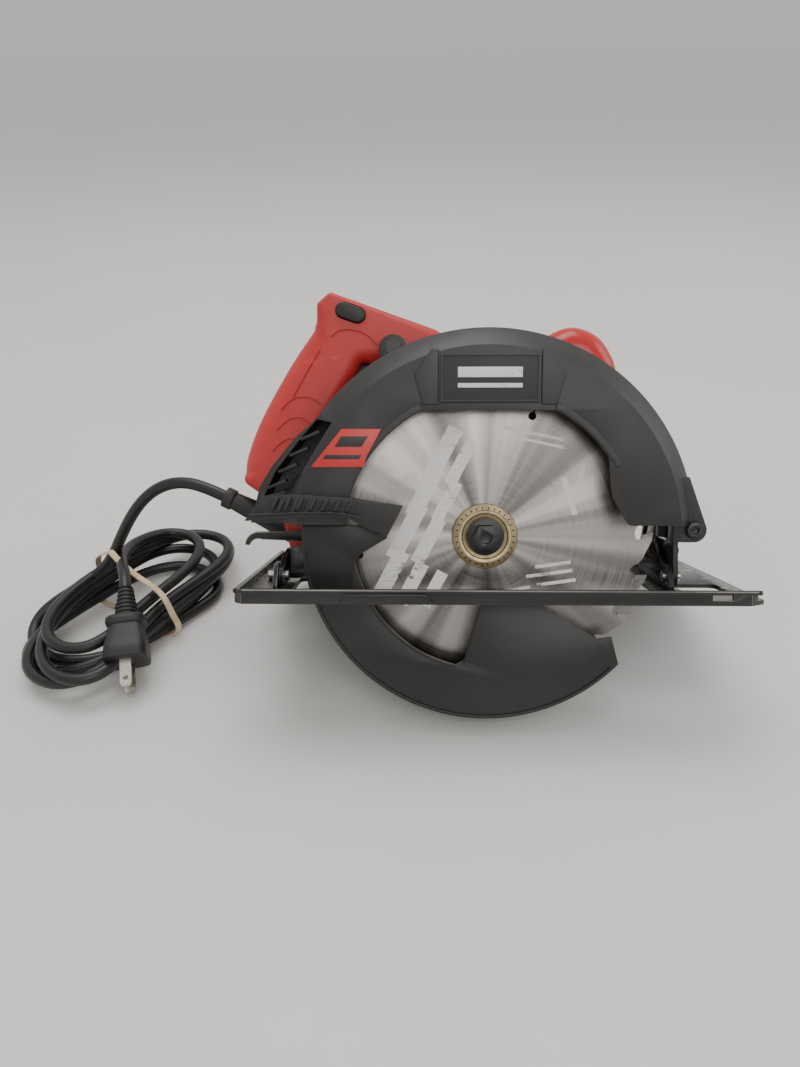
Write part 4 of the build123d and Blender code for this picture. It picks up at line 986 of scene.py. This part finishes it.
repeated("scaleMarksShort", "base", "ink", onSole(135, 138.6, -30), 25, step=(0, 6, 0))
repeated("scaleMarksLong", "base", "ink", onSole(131, 138.6, -30, 0.7), 6, step=(0, 30, 0))
flangeNotch = [(-77, -30.2), (-73.5, -26.2), (-33, -26.2), (-28.5, -30.2), (-31.5, -30.2), (-34.6, -27.6),
               (-71.8, -27.6), (-74, -30.2)]
keep(plate("flangeNotch", [flangeNotch], -37.6, -36.8, 0.3, 2), "base", "baseEnamel")
for number, y in enumerate((62, 104)):
    bead(f"soleRib{number}", "base", "baseEnamel", [(x, y, -29.3) for x in (-104, -60, 0, 60, 88)], 1.0)
rollRun = [(-131.2, y, -25.2) for y in (-34, -20, 10, 40, 80, 112)]
bead("rearRoll", "base", "baseEnamel", rollRun, 1.5)
bead("nearRoll", "base", "baseEnamel", [(x, -36.2, -24.8) for x in (-129, -60, 0, 60, 138)], 1.3)
bead("nearShine", "base", "enamelEdge", [(x, -37.2, -24.3) for x in (-127, -60, 0, 60, 136)], 0.35)
print("base marked")


barrel = {"radius": 46.0, "slots": 7, "slotStep": 8.5}


def onBarrel(wide, high, near, far, ease):
    # a bar lying along the barrel, drawn at the top of it and turned afterwards about the motor's axis
    x, z = 0, barrel["radius"]
    rim = [(x - wide / 2, z - high), (x + wide / 2, z - high), (x + wide / 2, z + high),
           (x - wide / 2, z + high)]
    return plate("barSeed", [rim], near, far, ease, 2, matrix=Matrix.Identity(4))


aboutMotor = toBench @ Matrix.Translation(mm(motorLine[0], 0, motorLine[1]))
# dark strips low on both flanks, painted shade standing in for the vent slots, and fine ribs over the top for the
# hand
for sideName, start in (("Front", 74), ("Rear", -130)):
    vents = aboutMotor @ Matrix.Rotation(math.radians(start), 4, "Y")
    repeated("flankVents" + sideName, "saw", "carbon", onBarrel(2.6, 0.22, 100, 124, 0.15), barrel["slots"],
             turn=(0, barrel["slotStep"], 0), matrix=vents)
    rims = aboutMotor @ Matrix.Rotation(math.radians(start - 4), 4, "Y")
    repeated("flankFins" + sideName, "saw", "motorShell", onBarrel(1.2, 0.75, 98, 126, 0.3), barrel["slots"] + 1,
             turn=(0, barrel["slotStep"], 0), matrix=rims)
ringSeed = turned("ringSeed", [(45.9, 68.6), (46.6, 69), (46.6, 70.4), (45.9, 70.8)], steps=90,
                  matrix=Matrix.Identity(4))
repeated("barrelRings", "saw", "motorShell", ringSeed, 2, step=(0, 64, 0), matrix=aboutMotor)
print("motor dressed")


def addLight(name, place, aim, size, power, tint=(1, 1, 1)):
    lamp = bpy.data.lights.new(name, "AREA")
    lamp.shape = "RECTANGLE"
    lamp.size, lamp.size_y = size
    lamp.energy = power
    lamp.color = tint
    obj = newObject(name, lamp)
    obj.location = place
    obj.rotation_euler = (Vector(aim) - Vector(place)).to_track_quat("-Z", "Y").to_euler()
    return obj


def makeStage():
    look = {"floorSize": 60, "skyTone": (0.80, 0.79, 0.775), "skyPower": 0.88, "farTone": (0.555, 0.545, 0.528)}
    half = look["floorSize"] / 2
    mesh = bpy.data.meshes.new("tableTop")
    mesh.from_pydata([(-half, -half, 0), (half, -half, 0), (half, half, 0), (-half, half, 0)], [],
                     [(0, 1, 2, 3)])
    top = newObject("tableTop", mesh)
    top.data.materials.append(floorMat())
    world = bpy.data.worlds.new("softRoom")
    world.use_nodes = True
    tree = world.node_tree
    sky, seen = tree.nodes["Background"], tree.nodes.new("ShaderNodeBackground")
    ray, mix = tree.nodes.new("ShaderNodeLightPath"), tree.nodes.new("ShaderNodeMixShader")
    sky.inputs["Color"].default_value = (*look["skyTone"], 1)
    sky.inputs["Strength"].default_value = look["skyPower"]
    seen.inputs["Color"].default_value = (*look["farTone"], 1)
    tree.links.new(ray.outputs["Is Camera Ray"], mix.inputs[0])
    tree.links.new(sky.outputs[0], mix.inputs[1])
    tree.links.new(seen.outputs[0], mix.inputs[2])
    tree.links.new(mix.outputs[0], tree.nodes["World Output"].inputs["Surface"])
    bpy.context.scene.world = world
    addLight("ceilingPanel", (-0.25, 0.5, 1.9), (0, 0, 0.05), (1.6, 1.0), 20, (1, 0.99, 0.97))
    addLight("frontPanel", (0.35, -1.5, 1.35), (0, 0, 0.1), (1.3, 0.9), 10, (1, 0.98, 0.96))
    addLight("sidePanel", (1.5, 0.2, 0.9), (0, 0, 0.1), (0.8, 0.9), 5, (0.97, 0.98, 1))


def makeCamera():
    shot = {"place": (-36.95, -453.64, 328.64), "ahead": (-0.0236, 0.8515, -0.5239),
            "right": (0.9997, 0.0215, -0.01),
            "lens": 27.03}
    camera = bpy.data.cameras.new("viewCamera")
    camera.sensor_fit = "VERTICAL"
    camera.sensor_height = 36
    camera.lens = shot["lens"]
    camera.clip_start = 0.02
    obj = newObject("viewCamera", camera)
    ahead = Vector(shot["ahead"]).normalized()
    right = (Vector(shot["right"]) - ahead * Vector(shot["right"]).dot(ahead)).normalized()
    up = right.cross(ahead)
    obj.matrix_world = Matrix.Translation(mm(*shot["place"])) @ Matrix((right, up, -ahead)).transposed().to_4x4()
    bpy.context.scene.camera = obj


makeStage()
makeCamera()
